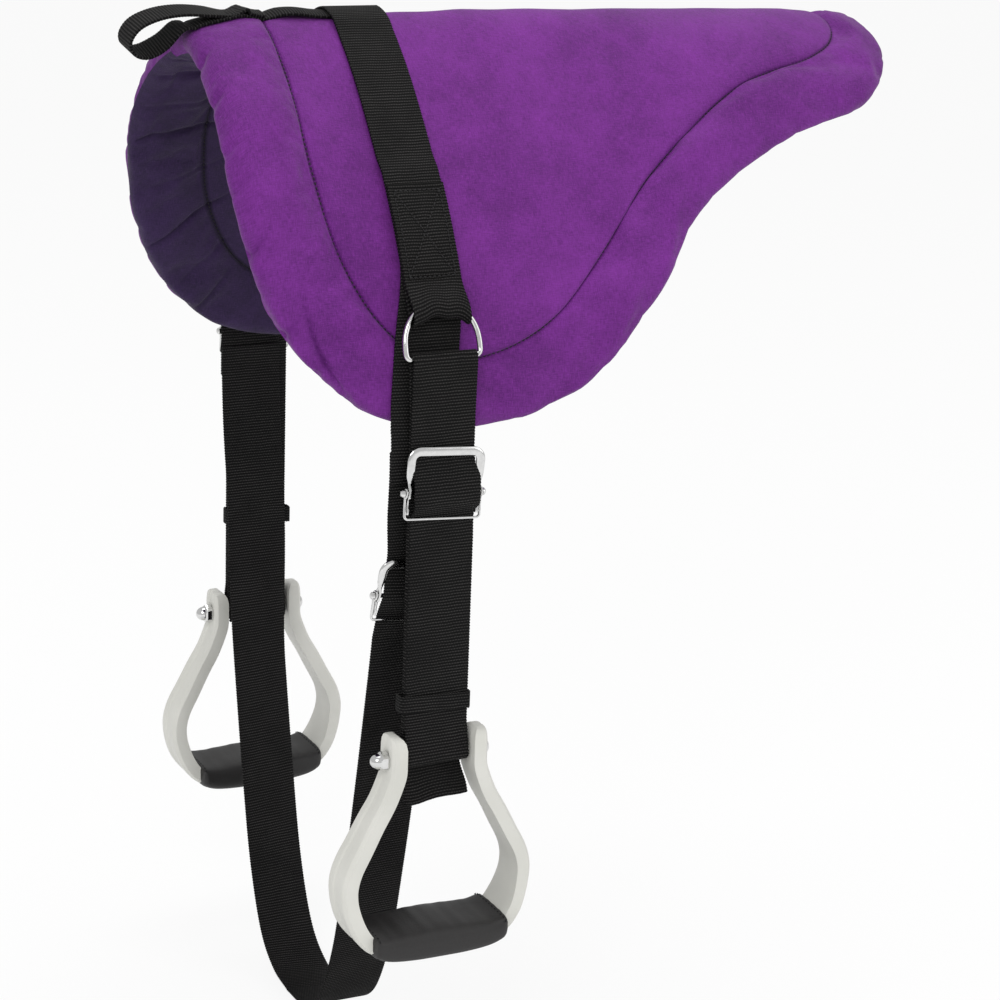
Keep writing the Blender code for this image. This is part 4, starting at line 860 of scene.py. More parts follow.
def add_strap(
    name, place, rows, width, body, node, thickness=WEBBING_THICKNESS, closed=False, columns=ACROSS
):
    """A strap whose point at (row, share across from -1 to 1) is given by the function place."""
    shares = [-1 + 2 * k / (columns - 1) for k in range(columns)]
    given = [[place(row, share) for share in shares] for row in range(rows)]
    lengths = lengths_along([line[columns // 2] for line in given])
    teeth = 2 * round(lengths[-1] / TOOTH_STEP / 2)
    cells = {"x_subdivisions": columns - 1, "y_subdivisions": teeth, "size": 1.0}
    strap = add_primitive(name, bpy.ops.mesh.primitive_grid_add, **cells)
    points, flats, row = [], [], 0
    for tooth in range(teeth + 1):
        target = lengths[-1] * tooth / teeth
        while row < rows - 2 and lengths[row + 1] < target:
            row += 1
        part = (target - lengths[row]) / (lengths[row + 1] - lengths[row])
        line = [a.lerp(b, part) for a, b in zip(given[row], given[row + 1])]
        outward = (line[-1] - line[0]).normalized() * TOOTH_DEPTH * (0.0 if tooth % 2 else -1.0)
        line[0] -= outward
        line[-1] += outward
        points += line
        flats += [
            (target, share * width / 2) if closed else (share * width / 2, target) for share in shares
        ]
    order = []
    for vertex in strap.data.vertices:
        column = round((vertex.co.x + 0.5) * (columns - 1))
        order.append(round((vertex.co.y + 0.5) * teeth) * columns + column)
        vertex.co = points[order[-1]]
    cloth_map = strap.data.uv_layers[0]
    cloth_map.name = CLOTH_MAP
    for loop in strap.data.loops:
        cloth_map.data[loop.index].uv = flats[order[loop.vertex_index]]
    if closed:
        edit_all(strap, (bpy.ops.mesh.remove_doubles, {"threshold": 0.0001}))
    modify(strap, "Thickness", "SOLIDIFY", thickness=thickness, offset=0.0, use_even_offset=True)
    round_edges(strap, thickness * 0.3, 2, 60)
    bpy.ops.object.shade_smooth_by_angle(angle=math.radians(50))
    dress(strap, "black_webbing", body, node)


def even_line(points, spacing):
    """The same line with its points about the same distance apart."""
    points = [Vector(p) for p in points]
    lengths = lengths_along(points)
    count = max(round(lengths[-1] / spacing), 1)
    line, k = [], 0
    for i in range(count + 1):
        target = lengths[-1] * i / count
        while k < len(lengths) - 2 and lengths[k + 1] < target:
            k += 1
        span = lengths[k + 1] - lengths[k]
        part = (target - lengths[k]) / span if span else 0.0
        line.append(points[k].lerp(points[k + 1], part))
    return line


# %% [markdown]
# The rigging strap crosses the pad, passes over the handle's tail and the billets, and folds up at each end
# round its D-ring. The fold is drawn in a little and arches with the ring inside it.

# %% Rigging strap
LIE_GAP = 0.0009
FLAT_HEIGHT = LIE_GAP + WEBBING_THICKNESS / 2
LAYER_PITCH = WEBBING_THICKNESS + 0.0005
RAISED_HEIGHT = FLAT_HEIGHT + LAYER_PITCH
DOUBLED_HEIGHT = RAISED_HEIGHT + LAYER_PITCH
HANDLE_WIDTH = 0.025
BILLET_TOP = 0.150
LOOP_LEVEL = 0.2436
DOUBLING_TOP = 0.155
SEAM_ABOVE_LOOP = 0.020
FOLD_NARROWING = 0.003
RIGGING_HALF = 0.0220
RIGGING_ACROSS = 21
FOLD_FLATTENING = 0.5
FOLD_WAVE = 0.0008
BOX_TOP = 0.160
BOX_BOTTOM = 0.221
BOX_HALF = 0.0175
BOX_DENT, BOX_DENT_WIDTH = 0.0010, 0.0022
PUCKER_T, PUCKER_START, PUCKER_END = 0.2228, -0.018, 0.006
PUCKER_DENT, PUCKER_WIDTH = 0.0012, 0.0015
STEP_REACH = 0.016
RING_HALF_WIDTH = 0.0285
RING_WIRE_RADIUS = 0.0020
RING_LEG = 0.010
RING_PIVOT_DROP = 0.0052
RING_SWING = math.radians(20)
RING_PLAY = RING_PIVOT_DROP * math.sin(RING_SWING / 2)
LOOP_RADIUS = RING_WIRE_RADIUS + RING_PLAY + 0.0010 + WEBBING_THICKNESS / 2
RING_HEIGHT = RAISED_HEIGHT + LOOP_RADIUS + RING_PLAY
LOOP_HALF_WIDTH = WEBBING_WIDTH / 2 - FOLD_NARROWING


def from_segment(point, start, end):
    """Distance of a flat point from a straight line between two others."""
    part = min(max((point - start).dot(end - start) / (end - start).length_squared, 0.0), 1.0)
    return (point - start.lerp(end, part)).length


box_places = ((-BOX_HALF, BOX_TOP), (BOX_HALF, BOX_TOP), (BOX_HALF, BOX_BOTTOM), (-BOX_HALF, BOX_BOTTOM))
box_corners = [Vector(place) for place in box_places]
box_lines = [(box_corners[k], box_corners[(k + 1) % 4]) for k in range(4)]
box_lines += [(box_corners[0], box_corners[2]), (box_corners[1], box_corners[3])]


def box_dent(x, t):
    """How far the sewn box and its cross draw the doubled strap in."""
    place = Vector((x, t))
    nearest = min(from_segment(place, a, b) for a, b in box_lines)
    pucker = from_segment(place, Vector((PUCKER_START, PUCKER_T)), Vector((PUCKER_END, PUCKER_T)))
    return BOX_DENT * bell(nearest, 0.0, BOX_DENT_WIDTH) + PUCKER_DENT * bell(pucker, 0.0, PUCKER_WIDTH)


def strap_height(t):
    over_handle = 1 - smooth_step((t - HANDLE_WIDTH / 2 - 0.004) / STEP_REACH)
    over_billet = smooth_step((t - BILLET_TOP + 0.020) / STEP_REACH)
    return FLAT_HEIGHT + LAYER_PITCH * max(over_handle, over_billet)


def rigging_side(share):
    """(t, height, half width) down one side, round the ring and back up."""
    seam = LOOP_LEVEL - SEAM_ABOVE_LOOP
    rows = [(seam * i / 60, strap_height(seam * i / 60), RIGGING_HALF) for i in range(61)]
    u = share * LOOP_HALF_WIDTH
    drop = RING_HALF_WIDTH - math.sqrt(RING_HALF_WIDTH**2 - u**2)
    edge_drop = RING_HALF_WIDTH - math.sqrt(RING_HALF_WIDTH**2 - LOOP_HALF_WIDTH**2)
    drop += (edge_drop - drop) * FOLD_FLATTENING + FOLD_WAVE * math.sin(share * 7.0)
    centre_t = LOOP_LEVEL - RING_PIVOT_DROP + drop - RING_PLAY / 2 + RING_PLAY * share**2
    centre_h = RING_HEIGHT + (drop - RING_PIVOT_DROP) * math.sin(RING_SWING / 2)
    for i in range(1, 6):
        part = i / 6
        wide = RIGGING_HALF + (LOOP_HALF_WIDTH - RIGGING_HALF) * smooth_step(part)
        t = seam + (centre_t - seam) * part
        rows.append((t, RAISED_HEIGHT + (centre_h - LOOP_RADIUS - RAISED_HEIGHT) * smooth_step(part), wide))
    for i in range(13):
        turn = math.pi * i / 12
        t = centre_t + LOOP_RADIUS * math.sin(turn)
        rows.append((t, centre_h - LOOP_RADIUS * math.cos(turn), LOOP_HALF_WIDTH))
    for i in range(1, 6):
        part = i / 6
        wide = RIGGING_HALF + (LOOP_HALF_WIDTH - RIGGING_HALF) * smooth_step(1 - part)
        t = centre_t + (seam - centre_t) * part
        top = centre_h + LOOP_RADIUS
        rows.append((t, top + (DOUBLED_HEIGHT - top) * smooth_step(part), wide))
    for i in range(49):
        t = seam + (DOUBLING_TOP - seam) * i / 48
        rows.append((t, DOUBLED_HEIGHT - box_dent(share * RIGGING_HALF, t), RIGGING_HALF))
    return rows


rigging_columns = {}
for k in range(RIGGING_ACROSS):
    share = -1 + 2 * k / (RIGGING_ACROSS - 1)
    half = rigging_side(share)
    near = [on_pad(share * wide, -t, height) for t, height, wide in reversed(half)]
    off = [on_pad(share * wide, t, height) for t, height, wide in half[1:]]
    rigging_columns[round(share, 3)] = near + off

add_strap(
    "rigging_webbing", lambda row, share: rigging_columns[round(share, 3)][row], len(rigging_columns[0.0]),
    WEBBING_WIDTH, "pad_body", "rigging_strap", columns=RIGGING_ACROSS
)
box_height = DOUBLED_HEIGHT + WEBBING_THICKNESS / 2 - 0.0006
box_seams = []
for side in (-1, 1):
    for a, b in box_lines:
        places = [a.lerp(b, k / 20) for k in range(21)]
        places = [(p.x, side * p.y) for p in places]
        box_seams.append([(on_pad(x, t, box_height), pad_normal(x, t)) for x, t in places])
add_stitches("rigging_box_stitches", box_seams, "pad_body")

# %% [markdown]
# The billets come out from under the rigging strap, ride over the border and hang past the flap's edge. The
# girth is lapped inside them.

# %% Billets
GIRTH_SHIFT = -0.008
NEAR_LEG_LEAN = -0.004
BILLET_END = 0.032
BILLET_SLANT_START = 0.205
BILLET_TUCKED_HALF = 0.0205
BILLET_WIDENS, BILLET_WIDENING = 0.200, 0.060
BILLET_SLANT_LENGTH = 0.110
STITCH_T = STITCH_SHARES[5][1] * FLAP_DROP
FLAP_BOTTOM = on_pad(along_pad(0.045), FLAP_DROP, -PAD_THICKNESS / 2).z
LAST_T = FLAP_DROP * (1 - 0.1 * (1 - STITCH_SHARES[5][1]))


def billet_height(t):
    return FLAT_HEIGHT + BORDER_CROWN * smooth_step((t - STITCH_T + 0.016) / 0.032)


billet_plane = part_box("off_billet")[1].y - WEBBING_THICKNESS / 2
for prefix, side in SIDES:

    def billet_point(row, share, side=side):
        lean = GIRTH_SHIFT + (NEAR_LEG_LEAN if side < 0 else 0.0)
        if row < 50:
            t = BILLET_TOP + (LAST_T - BILLET_TOP) * row / 49
            slant = smooth_step((t - BILLET_SLANT_START) / BILLET_SLANT_LENGTH)
            spread = smooth_step((t - BILLET_WIDENS) / BILLET_WIDENING)
            half = BILLET_TUCKED_HALF + (WEBBING_WIDTH / 2 - BILLET_TUCKED_HALF) * spread
            return on_pad(lean * slant + share * half, side * t, billet_height(t))
        x = lean + share * WEBBING_WIDTH / 2
        start = on_pad(x, side * LAST_T, billet_height(LAST_T))
        part = (row - 49) / 12
        level = start.z + (FLAP_BOTTOM - BILLET_END - start.z) * part
        return Vector((x, start.y + (side * billet_plane - start.y) * smooth_step(part * 2), level))

    add_strap(prefix + "_billet_webbing", billet_point, 62, WEBBING_WIDTH, "pad_body", prefix + "_billet")

print("billets hang at", round(billet_plane, 4))

# %% [markdown]
# The grab handle is a narrower strap. Its lower layer lies along the ridge and out over the rim, and the
# strap then curls back on itself in a flat loop that a hand goes through.

# %% Grab handle
HANDLE_REACH = 0.0460
HANDLE_HEIGHT = 0.016
HANDLE_TAIL = 0.018
HANDLE_SHARES = (
    (0.18, -0.10), (0.42, -0.72), (0.70, -1.12), (0.90, -1.10), (1.00, -0.80), (0.98, -0.36), (0.82, 0.12),
    (0.50, 0.47), (0.12, 0.60), (-0.28, 0.54), (-0.66, 0.42)
)
HANDLE_ROLL = math.radians(10)
HANDLE_HUMP = 0.0022
handle_leaves = -0.90 * PAD_FRONT
handle_tack = -0.61 * PAD_FRONT


def handle_lie(x):
    stitch_x = along_pad(STITCH_SHARES[0][0])
    dip = 1 - smooth_step(abs(x - stitch_x) / 0.016)
    border = smooth_step((stitch_x - x) / 0.016)
    hump = HANDLE_HUMP * bell(x, -0.047, 0.014)
    return FLAT_HEIGHT + BORDER_CROWN * border - STITCH_DEPTH * 0.8 * dip + hump


handle_rows = []
for k in range(40):
    x = HANDLE_TAIL + (handle_leaves - HANDLE_TAIL) * k / 39
    handle_rows.append(("lie", x, handle_lie(x)))
base = on_pad(handle_leaves, 0.0, handle_lie(handle_leaves))
free = [on_pad(handle_leaves + 0.012, 0.0, handle_lie(handle_leaves + 0.012)), base]
free += [base + Vector((-HANDLE_REACH * reach, 0.0, HANDLE_HEIGHT * high)) for reach, high in HANDLE_SHARES]
free.append(on_pad(handle_tack, 0.0, handle_lie(handle_tack) + LAYER_PITCH))
free.append(on_pad(handle_tack + 0.012, 0.0, handle_lie(handle_tack + 0.012) + LAYER_PITCH))
handle_line = smooth_curve(free, 6)[7:-6]
handle_rows += [("free", point, 0.0) for point in even_line(handle_line, 0.003)]
for k in range(5):
    x = handle_tack + 0.003 * k
    handle_rows.append(("lie", x, handle_lie(x) + LAYER_PITCH))


def reach_of(row):
    kind, where, _ = handle_rows[row]
    return where.x if kind == "free" else 0.0


handle_nose = min(range(len(handle_rows)), key=reach_of)


def handle_point(row, share):
    kind, where, height = handle_rows[row]
    t = share * HANDLE_WIDTH / 2
    if kind == "lie":
        return on_pad(where, t, height)
    start = handle_tack + 0.002 if row > handle_nose else handle_leaves + 0.008
    more = 1 + 0.7 * smooth_step((handle_nose - row) / 8)
    rolled = more * HANDLE_ROLL * smooth_step((start - where.x) / 0.036)
    return where + Vector((0.0, t * math.cos(rolled), t * math.sin(rolled)))


add_strap("handle_webbing", handle_point, len(handle_rows), HANDLE_WIDTH, "pad_body", "grab_handle")

# %% [markdown]
# A stirrup strap is one long piece of webbing. From its free tail it goes up the back, over the ring's bar,
# down the front through the buckle, round the stirrup's bolt and up again to the buckle's crossbar.

# %% Stirrup straps
LAYER_GAP = 0.0005
GAP = 0.0003
BUCKLE_TOP = 0.0296
GIRTH_BUCKLE_TOP = 0.0250
BUCKLE_LOWER = 0.0183
BUCKLE_BAR_DEPTH = 0.0026
CROSSBAR_RADIUS = 0.0018
LOOP_WIRE_RADIUS = 0.0011
SLEEVE_RADIUS = 0.0050
STRAP_SPREAD = 0.024
FRONT_BULGE = 0.0025
BUCKLE_SHIFT, BUCKLE_SPREAD, CROSSBAR_SHIFT = 0.0018, 0.0008, 0.0014
BUCKLE_FADE = 0.006
TAIL_TWIST = 0.12
TAIL_SHIFT, TAIL_CURL, TAIL_WAVE, TAIL_RAGGED = 0.0045, 0.0030, 0.0015, 0.0013
TAIL_START, TAIL_FADE = 0.006, 0.030
STRAP_PITCH = WEBBING_THICKNESS + LAYER_GAP
crossbar_out = STRAP_PITCH + WEBBING_THICKNESS / 2 + GAP + CROSSBAR_RADIUS
hook_radius = CROSSBAR_RADIUS + GAP + WEBBING_THICKNESS / 2
bolt_wrap = SLEEVE_RADIUS + GAP + WEBBING_THICKNESS / 2
bolt_out = 1.5 * STRAP_PITCH + LAYER_GAP


def box_middle(node):
    low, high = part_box(node)
    return (low + high) / 2


BOLT_LEVEL = box_middle("off_bolt_sleeve").z
rear_plane = box_middle("off_bolt_sleeve").y - bolt_out
ring_pivot = on_pad(0.0, LOOP_LEVEL, RING_HEIGHT)
ring_down = (draped(0.0, LOOP_LEVEL + 0.001) - draped(0.0, LOOP_LEVEL - 0.001)).normalized()
ring_bar = ring_pivot + ring_down * (RING_HALF_WIDTH + RING_LEG - RING_PIVOT_DROP)
bar_out = ring_bar.y - rear_plane
bar_wrap = RING_WIRE_RADIUS + GAP + WEBBING_THICKNESS / 2
rear_at_bolt = bolt_out - bolt_wrap - STRAP_PITCH


def arc(centre_out, centre_z, radius, start, end, steps):
    points = []
    for i in range(steps + 1):
        turn = math.radians(start + (end - start) * i / steps)
        points.append(Vector((centre_out + radius * math.cos(turn), centre_z + radius * math.sin(turn))))
    return points


def strap_route(prefix):
    """The line of one strap as (out from its rear layer, height), from its tail to its hooked end."""
    buckle_level = box_middle(prefix + "_buckle_bar").z
    tail = BOLT_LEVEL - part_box(prefix + "_stirrup_strap")[0].z
    buckle_top = buckle_level + BUCKLE_TOP
    edge = FLAP_BOTTOM + 0.016
    rear = smooth_curve(
        [
            (rear_at_bolt + 0.13 * tail, BOLT_LEVEL - tail), (rear_at_bolt, BOLT_LEVEL - tail / 2),
            (rear_at_bolt, BOLT_LEVEL), (0.0, BOLT_LEVEL + STRAP_SPREAD)
        ],
        10
    )
    rear += [Vector((0.0, (BOLT_LEVEL + FLAP_BOTTOM) / 2)), Vector((0.0, FLAP_BOTTOM)), Vector((0.0, edge))]
    front = smooth_curve(
        [
            (STRAP_PITCH, max(edge, buckle_top + STRAP_SPREAD / 2)),
            (STRAP_PITCH, buckle_top + BUCKLE_BAR_DEPTH), (STRAP_PITCH, buckle_top - BUCKLE_BAR_DEPTH),
            (crossbar_out + FRONT_BULGE / 2, buckle_level + BUCKLE_TOP / 2),
            (crossbar_out + hook_radius + FRONT_BULGE, buckle_level + BUCKLE_TOP / 6),
            (crossbar_out + hook_radius + FRONT_BULGE, buckle_level - 0.0060),
            (2 * STRAP_PITCH, buckle_level - BUCKLE_LOWER + LOOP_WIRE_RADIUS),
            (2 * STRAP_PITCH, buckle_level - BUCKLE_LOWER - 0.016)
        ],
        10
    )
    front.append(Vector((2 * STRAP_PITCH, BOLT_LEVEL + STRAP_SPREAD)))
    middle = [
        Vector((STRAP_PITCH, BOLT_LEVEL + STRAP_SPREAD)), Vector((STRAP_PITCH, buckle_level - BUCKLE_LOWER))
    ]
    over_bar = arc(bar_out, ring_bar.z, bar_wrap, 180, 0, 14)
    round_bolt = arc(bolt_out, BOLT_LEVEL, bolt_wrap, 0, -180, 20)
    hook = arc(crossbar_out, buckle_level, hook_radius, 180, 80, 8)
    return even_line(rear + over_bar + front + round_bolt + middle + hook, 0.0022)


for prefix, side in SIDES:
    strap_line = strap_route(prefix)
    print(prefix, "stirrup strap:", round(0.0022 * len(strap_line), 3), "m long")

    def strap_point(
        row, share, side=side, strap_line=strap_line, level=box_middle(prefix + "_buckle_bar").z
    ):
        out, z = strap_line[row]
        front = smooth_step((out - 2 * STRAP_PITCH) / 0.004)
        at_buckle = front * smooth_step((level + 0.027 - z) / BUCKLE_FADE)
        at_buckle *= smooth_step((z - level + 0.019) / BUCKLE_FADE)
        x = share * (WEBBING_WIDTH / 2 + BUCKLE_SPREAD * at_buckle) + BUCKLE_SHIFT * at_buckle
        x -= CROSSBAR_SHIFT * front * bell(z, level, 0.008)
        loose = smooth_step((BOLT_LEVEL - TAIL_START - z) / TAIL_FADE) * smooth_step((60 - row) / 20)
        x += TAIL_SHIFT * loose
        z += loose * (TAIL_TWIST * x + TAIL_RAGGED * math.sin(share * 4.5 + 0.6))
        out += loose * (TAIL_CURL * share + TAIL_WAVE * math.sin(share * 5.0))
        return Vector((x, side * (rear_plane + out), z))

    add_strap(
        prefix + "_strap_webbing", strap_point, len(strap_line), WEBBING_WIDTH, prefix + "_strap_body",
        prefix + "_stirrup_strap"
    )

# %% [markdown]
# The girth is a U of webbing. On its near leg it weaves through a buckle like those of the stirrup straps.

# %% Girth
GIRTH_SWAY = -0.006
GIRTH_SWAY_REACH = {-1: (0.072, 0.125), 1: (0.100, 0.260)}
GIRTH_BUCKLE_TILT = math.radians(-7)
GIRTH_TWIST = math.radians(12)
GIRTH_TWIST_REACH = (0.150, 0.260)
GIRTH_SHARES = (
    (1.000, 0.00), (1.000, 0.05), (0.975, 0.14), (0.920, 0.24), (0.840, 0.38), (0.745, 0.54), (0.640, 0.70),
    (0.530, 0.84), (0.380, 0.945), (0.200, 0.990), (0.000, 1.00)
)
girth_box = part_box("girth_strap")
girth_plane = girth_box[1].y - WEBBING_THICKNESS / 2
girth_top = girth_box[1].z
GIRTH_BOTTOM = girth_box[0].z + WEBBING_THICKNESS / 2
girth_half = smooth_curve(
    [(girth_plane * y, girth_top - (girth_top - GIRTH_BOTTOM) * z) for y, z in GIRTH_SHARES], 10
)


def girth_at(level):
    for a, b in zip(girth_half, girth_half[1:]):
        if b.y <= level:
            part = (a.y - level) / (a.y - b.y)
            return a.lerp(b, part), (a - b).normalized()


def reach_share(drop, reach):
    return smooth_step((drop - reach[0]) / (reach[1] - reach[0]))


girth_bar = box_middle("girth_buckle_bar")
girth_start, girth_up = girth_at(girth_bar.z + 0.0006)
girth_out = Vector((girth_up.y, -girth_up.x))
lower = 2 * STRAP_PITCH - crossbar_out
weave = smooth_curve(
    [
        (0.0, GIRTH_BUCKLE_TOP + BUCKLE_BAR_DEPTH), (0.0, GIRTH_BUCKLE_TOP - BUCKLE_BAR_DEPTH),
        (hook_radius, GIRTH_BUCKLE_TOP / 2), (2 * hook_radius + GAP, GIRTH_BUCKLE_TOP / 6),
        (2 * hook_radius + GAP, -0.0034), (hook_radius + lower, LOOP_WIRE_RADIUS - BUCKLE_LOWER),
        (hook_radius + lower, -BUCKLE_LOWER - LOOP_WIRE_RADIUS), (0.0, -BUCKLE_LOWER - 0.016)
    ],
    8
)
woven = [girth_start + girth_up * v + girth_out * q for q, v in weave]
above = [p for p in girth_half if (p - girth_start).dot(girth_up) > GIRTH_BUCKLE_TOP + 0.008]
below = [p for p in girth_half if (p - girth_start).dot(girth_up) < -BUCKLE_LOWER - 0.024]
near_leg = above + woven + below
girth_line = [Vector((-p.x, p.y)) for p in near_leg] + list(reversed(girth_half[:-1]))
girth_line = even_line(girth_line, 0.0035)


def girth_sway(y, drop):
    sway = GIRTH_SWAY * reach_share(drop, GIRTH_SWAY_REACH[-1 if y < 0 else 1])
    if y < 0:
        sway += NEAR_LEG_LEAN * (1 - reach_share(drop, (0.040, 0.100)))
    return sway


def girth_point(row, share):
    y, z = girth_line[row]
    run = (girth_line[min(row + 1, len(girth_line) - 1)] - girth_line[max(row - 1, 0)]).normalized()
    drop = girth_top - z
    sway = girth_sway(y, drop)
    if y < 0:
        z += share * WEBBING_WIDTH / 2 * math.sin(GIRTH_BUCKLE_TILT) * bell(z, girth_bar.z, 0.030)
    turn = GIRTH_TWIST * reach_share(drop, GIRTH_TWIST_REACH) * smooth_step(0.5 + y / girth_plane)
    across = Vector((math.cos(turn), run.y * math.sin(turn), -run.x * math.sin(turn)))
    return Vector((GIRTH_SHIFT + sway, y, z)) + across * share * WEBBING_WIDTH / 2


add_strap("girth_webbing", girth_point, len(girth_line), WEBBING_WIDTH, "girth_body", "girth_strap")

# %% [markdown]
# Each stirrup strap's layers are held together by a sewn band of thinner webbing that slides along them.

# %% Keepers
KEEPER_SLACK = 0.0025
KEEPER_SLOPE = -0.06
KEEPER_HEIGHT = 0.013
KEEPER_THICKNESS = 0.0015
keeper_in = -WEBBING_THICKNESS / 2 - GAP
keeper_far = 2 * STRAP_PITCH + WEBBING_THICKNESS / 2 + GAP
keeper_reach = (keeper_far - keeper_in) / 2 + KEEPER_THICKNESS / 2
keeper_middle = (keeper_in + keeper_far) / 2
keeper_half = WEBBING_WIDTH / 2 + GAP
round_end = []
for degrees in range(-90, 91, 15):
    turn = math.radians(degrees)
    out = keeper_middle + keeper_reach * math.sin(turn)
    round_end.append((keeper_half + keeper_reach * 0.25 * math.cos(turn), out))
keeper_line = round_end + [(-x - KEEPER_SLACK, out) for x, out in reversed(round_end)]
keeper_line = even_line([*keeper_line, keeper_line[0]], 0.002)
for prefix, side in SIDES:

    def keeper_point(row, share, side=side, level=box_middle(prefix + "_keeper").z):
        x, out = keeper_line[row]
        x *= -side
        return Vector((x, side * (rear_plane + out), level + share * KEEPER_HEIGHT / 2 + KEEPER_SLOPE * x))

    add_strap(
        prefix + "_keeper_band", keeper_point, len(keeper_line), KEEPER_HEIGHT, prefix + "_keeper_body",
        prefix + "_keeper", thickness=KEEPER_THICKNESS, closed=True
    )

# %% [markdown]
# The rings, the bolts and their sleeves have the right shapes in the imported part. Each is copied, its loose
# triangles are joined into one skin, and its edges are rounded and smoothed.

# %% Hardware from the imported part
RING_FATTER = 0.00025


def refined_copy(node, name, body, bevel, levels):
    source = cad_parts[node]
    piece = source.copy()
    piece.data = source.data.copy()
    piece.name = piece.data.name = name
    for key in list(piece.keys()):
        del piece[key]
    piece.parent = None
    piece.matrix_world = Matrix.Identity(4)
    bpy.context.scene.collection.objects.link(piece)
    piece.hide_render = piece.hide_viewport = False
    angles = {"face_threshold": math.radians(20), "shape_threshold": math.radians(40)}
    edit_all(piece, merge, (bpy.ops.mesh.tris_convert_to_quads, angles))
    if bevel:
        round_edges(piece, bevel, 2, 40)
    subdivide(piece, levels)
    bpy.ops.object.shade_smooth_by_angle(angle=math.radians(40))
    return dress(piece, "nickel_plate", body, node)


for prefix, _ in SIDES:
    ring = refined_copy(prefix + "_d_ring", prefix + "_ring", prefix + "_ring_body", 0, 2)
    edit_all(ring, (bpy.ops.transform.shrink_fatten, {"value": RING_FATTER}))
    for node in ("stirrup_bolt", "bolt_sleeve"):
        refined_copy(f"{prefix}_{node}", f"{prefix}_{node}_plated", f"{prefix}_stirrup_body", 0.0003, 1)

# %% [markdown]
# The bent rods, the nuts and the moulded bows are grown outline by outline. A filled circle gets the points
# of the first outline, and each extrusion then takes the next one, as a bar is drawn, bent and pressed.

# %% Grow a piece outline by outline


def grown(name, rings, body, node, slot="nickel_plate", edge=0.0, levels=0, angle=35):
    """A piece that passes through the outlines in turn, plated if no other slot is given."""
    disc = {"vertices": len(rings[0]), "radius": 0.01, "fill_type": "NGON"}
    piece = add_primitive(name, bpy.ops.mesh.primitive_circle_add, **disc)
    for vertex, point in zip(piece.data.vertices, rings[0]):
        vertex.co = point
    bpy.ops.object.mode_set(mode="EDIT")
    bpy.ops.mesh.select_all(action="SELECT")
    for before, after in zip(rings, rings[1:]):
        bpy.ops.mesh.extrude_region_move()
        shape = bmesh.from_edit_mesh(piece.data)
        for vertex in [v for v in shape.verts if v.select]:
            nearest = min(range(len(before)), key=lambda k: (vertex.co - before[k]).length_squared)
            vertex.co = after[nearest]
        bmesh.update_edit_mesh(piece.data)
    bpy.ops.object.mode_set(mode="OBJECT")
    edit_all(piece, outwards)
    if edge:
        round_edges(piece, edge, 3, 30)
    if levels:
        subdivide(piece, levels)
    bpy.ops.object.shade_smooth_by_angle(angle=math.radians(angle))
    dress(piece, slot, body, node)


def squared(turn, power):
    """Cosine and sine of a turn, drawn towards a square's corners by a power below 1."""
    c, s = math.cos(turn), math.sin(turn)
    return math.copysign(abs(c) ** power, c), math.copysign(abs(s) ** power, s)


def rod_rings(left, place, across, rise, out):
    """Outlines along a bent bar that mirrors its left half, given as
    (u, v, q, half width in its plane, half depth) stations."""
    stations = left + [(-u, *rest) for u, *rest in reversed(left)]
    rings = []
    for i, (u, v, q, wide, deep) in enumerate(stations):
        before, after = stations[max(i - 1, 0)], stations[min(i + 1, len(stations) - 1)]
        run = Vector((after[0] - before[0], after[1] - before[1])).normalized()
        ring = []
        for k in range(12):
            c, s = squared(2 * math.pi * (k + 0.5) / 12, 0.62)
            point = place + across * (u + run.y * wide * c) + rise * (v - run.x * wide * c)
            ring.append(point + out * (q + deep * s))
        rings.append(ring)
    return rings


def quarter(centre_u, centre_v, radius, lift):
    """Places round the left corner from a leg to a cross member, above with lift 1 and below with -1."""
    turns = [math.pi / 2 * i / 6 for i in range(1, 6)]
    return [(-(centre_u + radius * math.cos(a)), centre_v + lift * radius * math.sin(a)) for a in turns]


def turned_rings(profile, count=16):
    """Round outlines about the x axis, from (x, radius) pairs."""
    turns = [2 * math.pi * k / count for k in range(count)]
    return [
        [Vector((x, radius * math.cos(a), radius * math.sin(a))) for a in turns] for x, radius in profile
    ]


# %% [markdown]
# Each web buckle is a pressed steel frame whose broad top bar and upper legs narrow to two eyes, a crossbar
# with a knob on each end, and a thin wire loop that hangs on the crossbar outside the frame.

# %% Buckles
FRAME_LEG = 0.0270
FRAME_CORNER = 0.0065
LOOP_LEG = FRAME_LEG + 0.0024
WIRE_RADIUS = 0.00085
top_bar_out = STRAP_PITCH + WEBBING_THICKNESS / 2 + GAP + 0.0016
lower_wire_out = 2 * STRAP_PITCH + WEBBING_THICKNESS / 2 + GAP + LOOP_WIRE_RADIUS


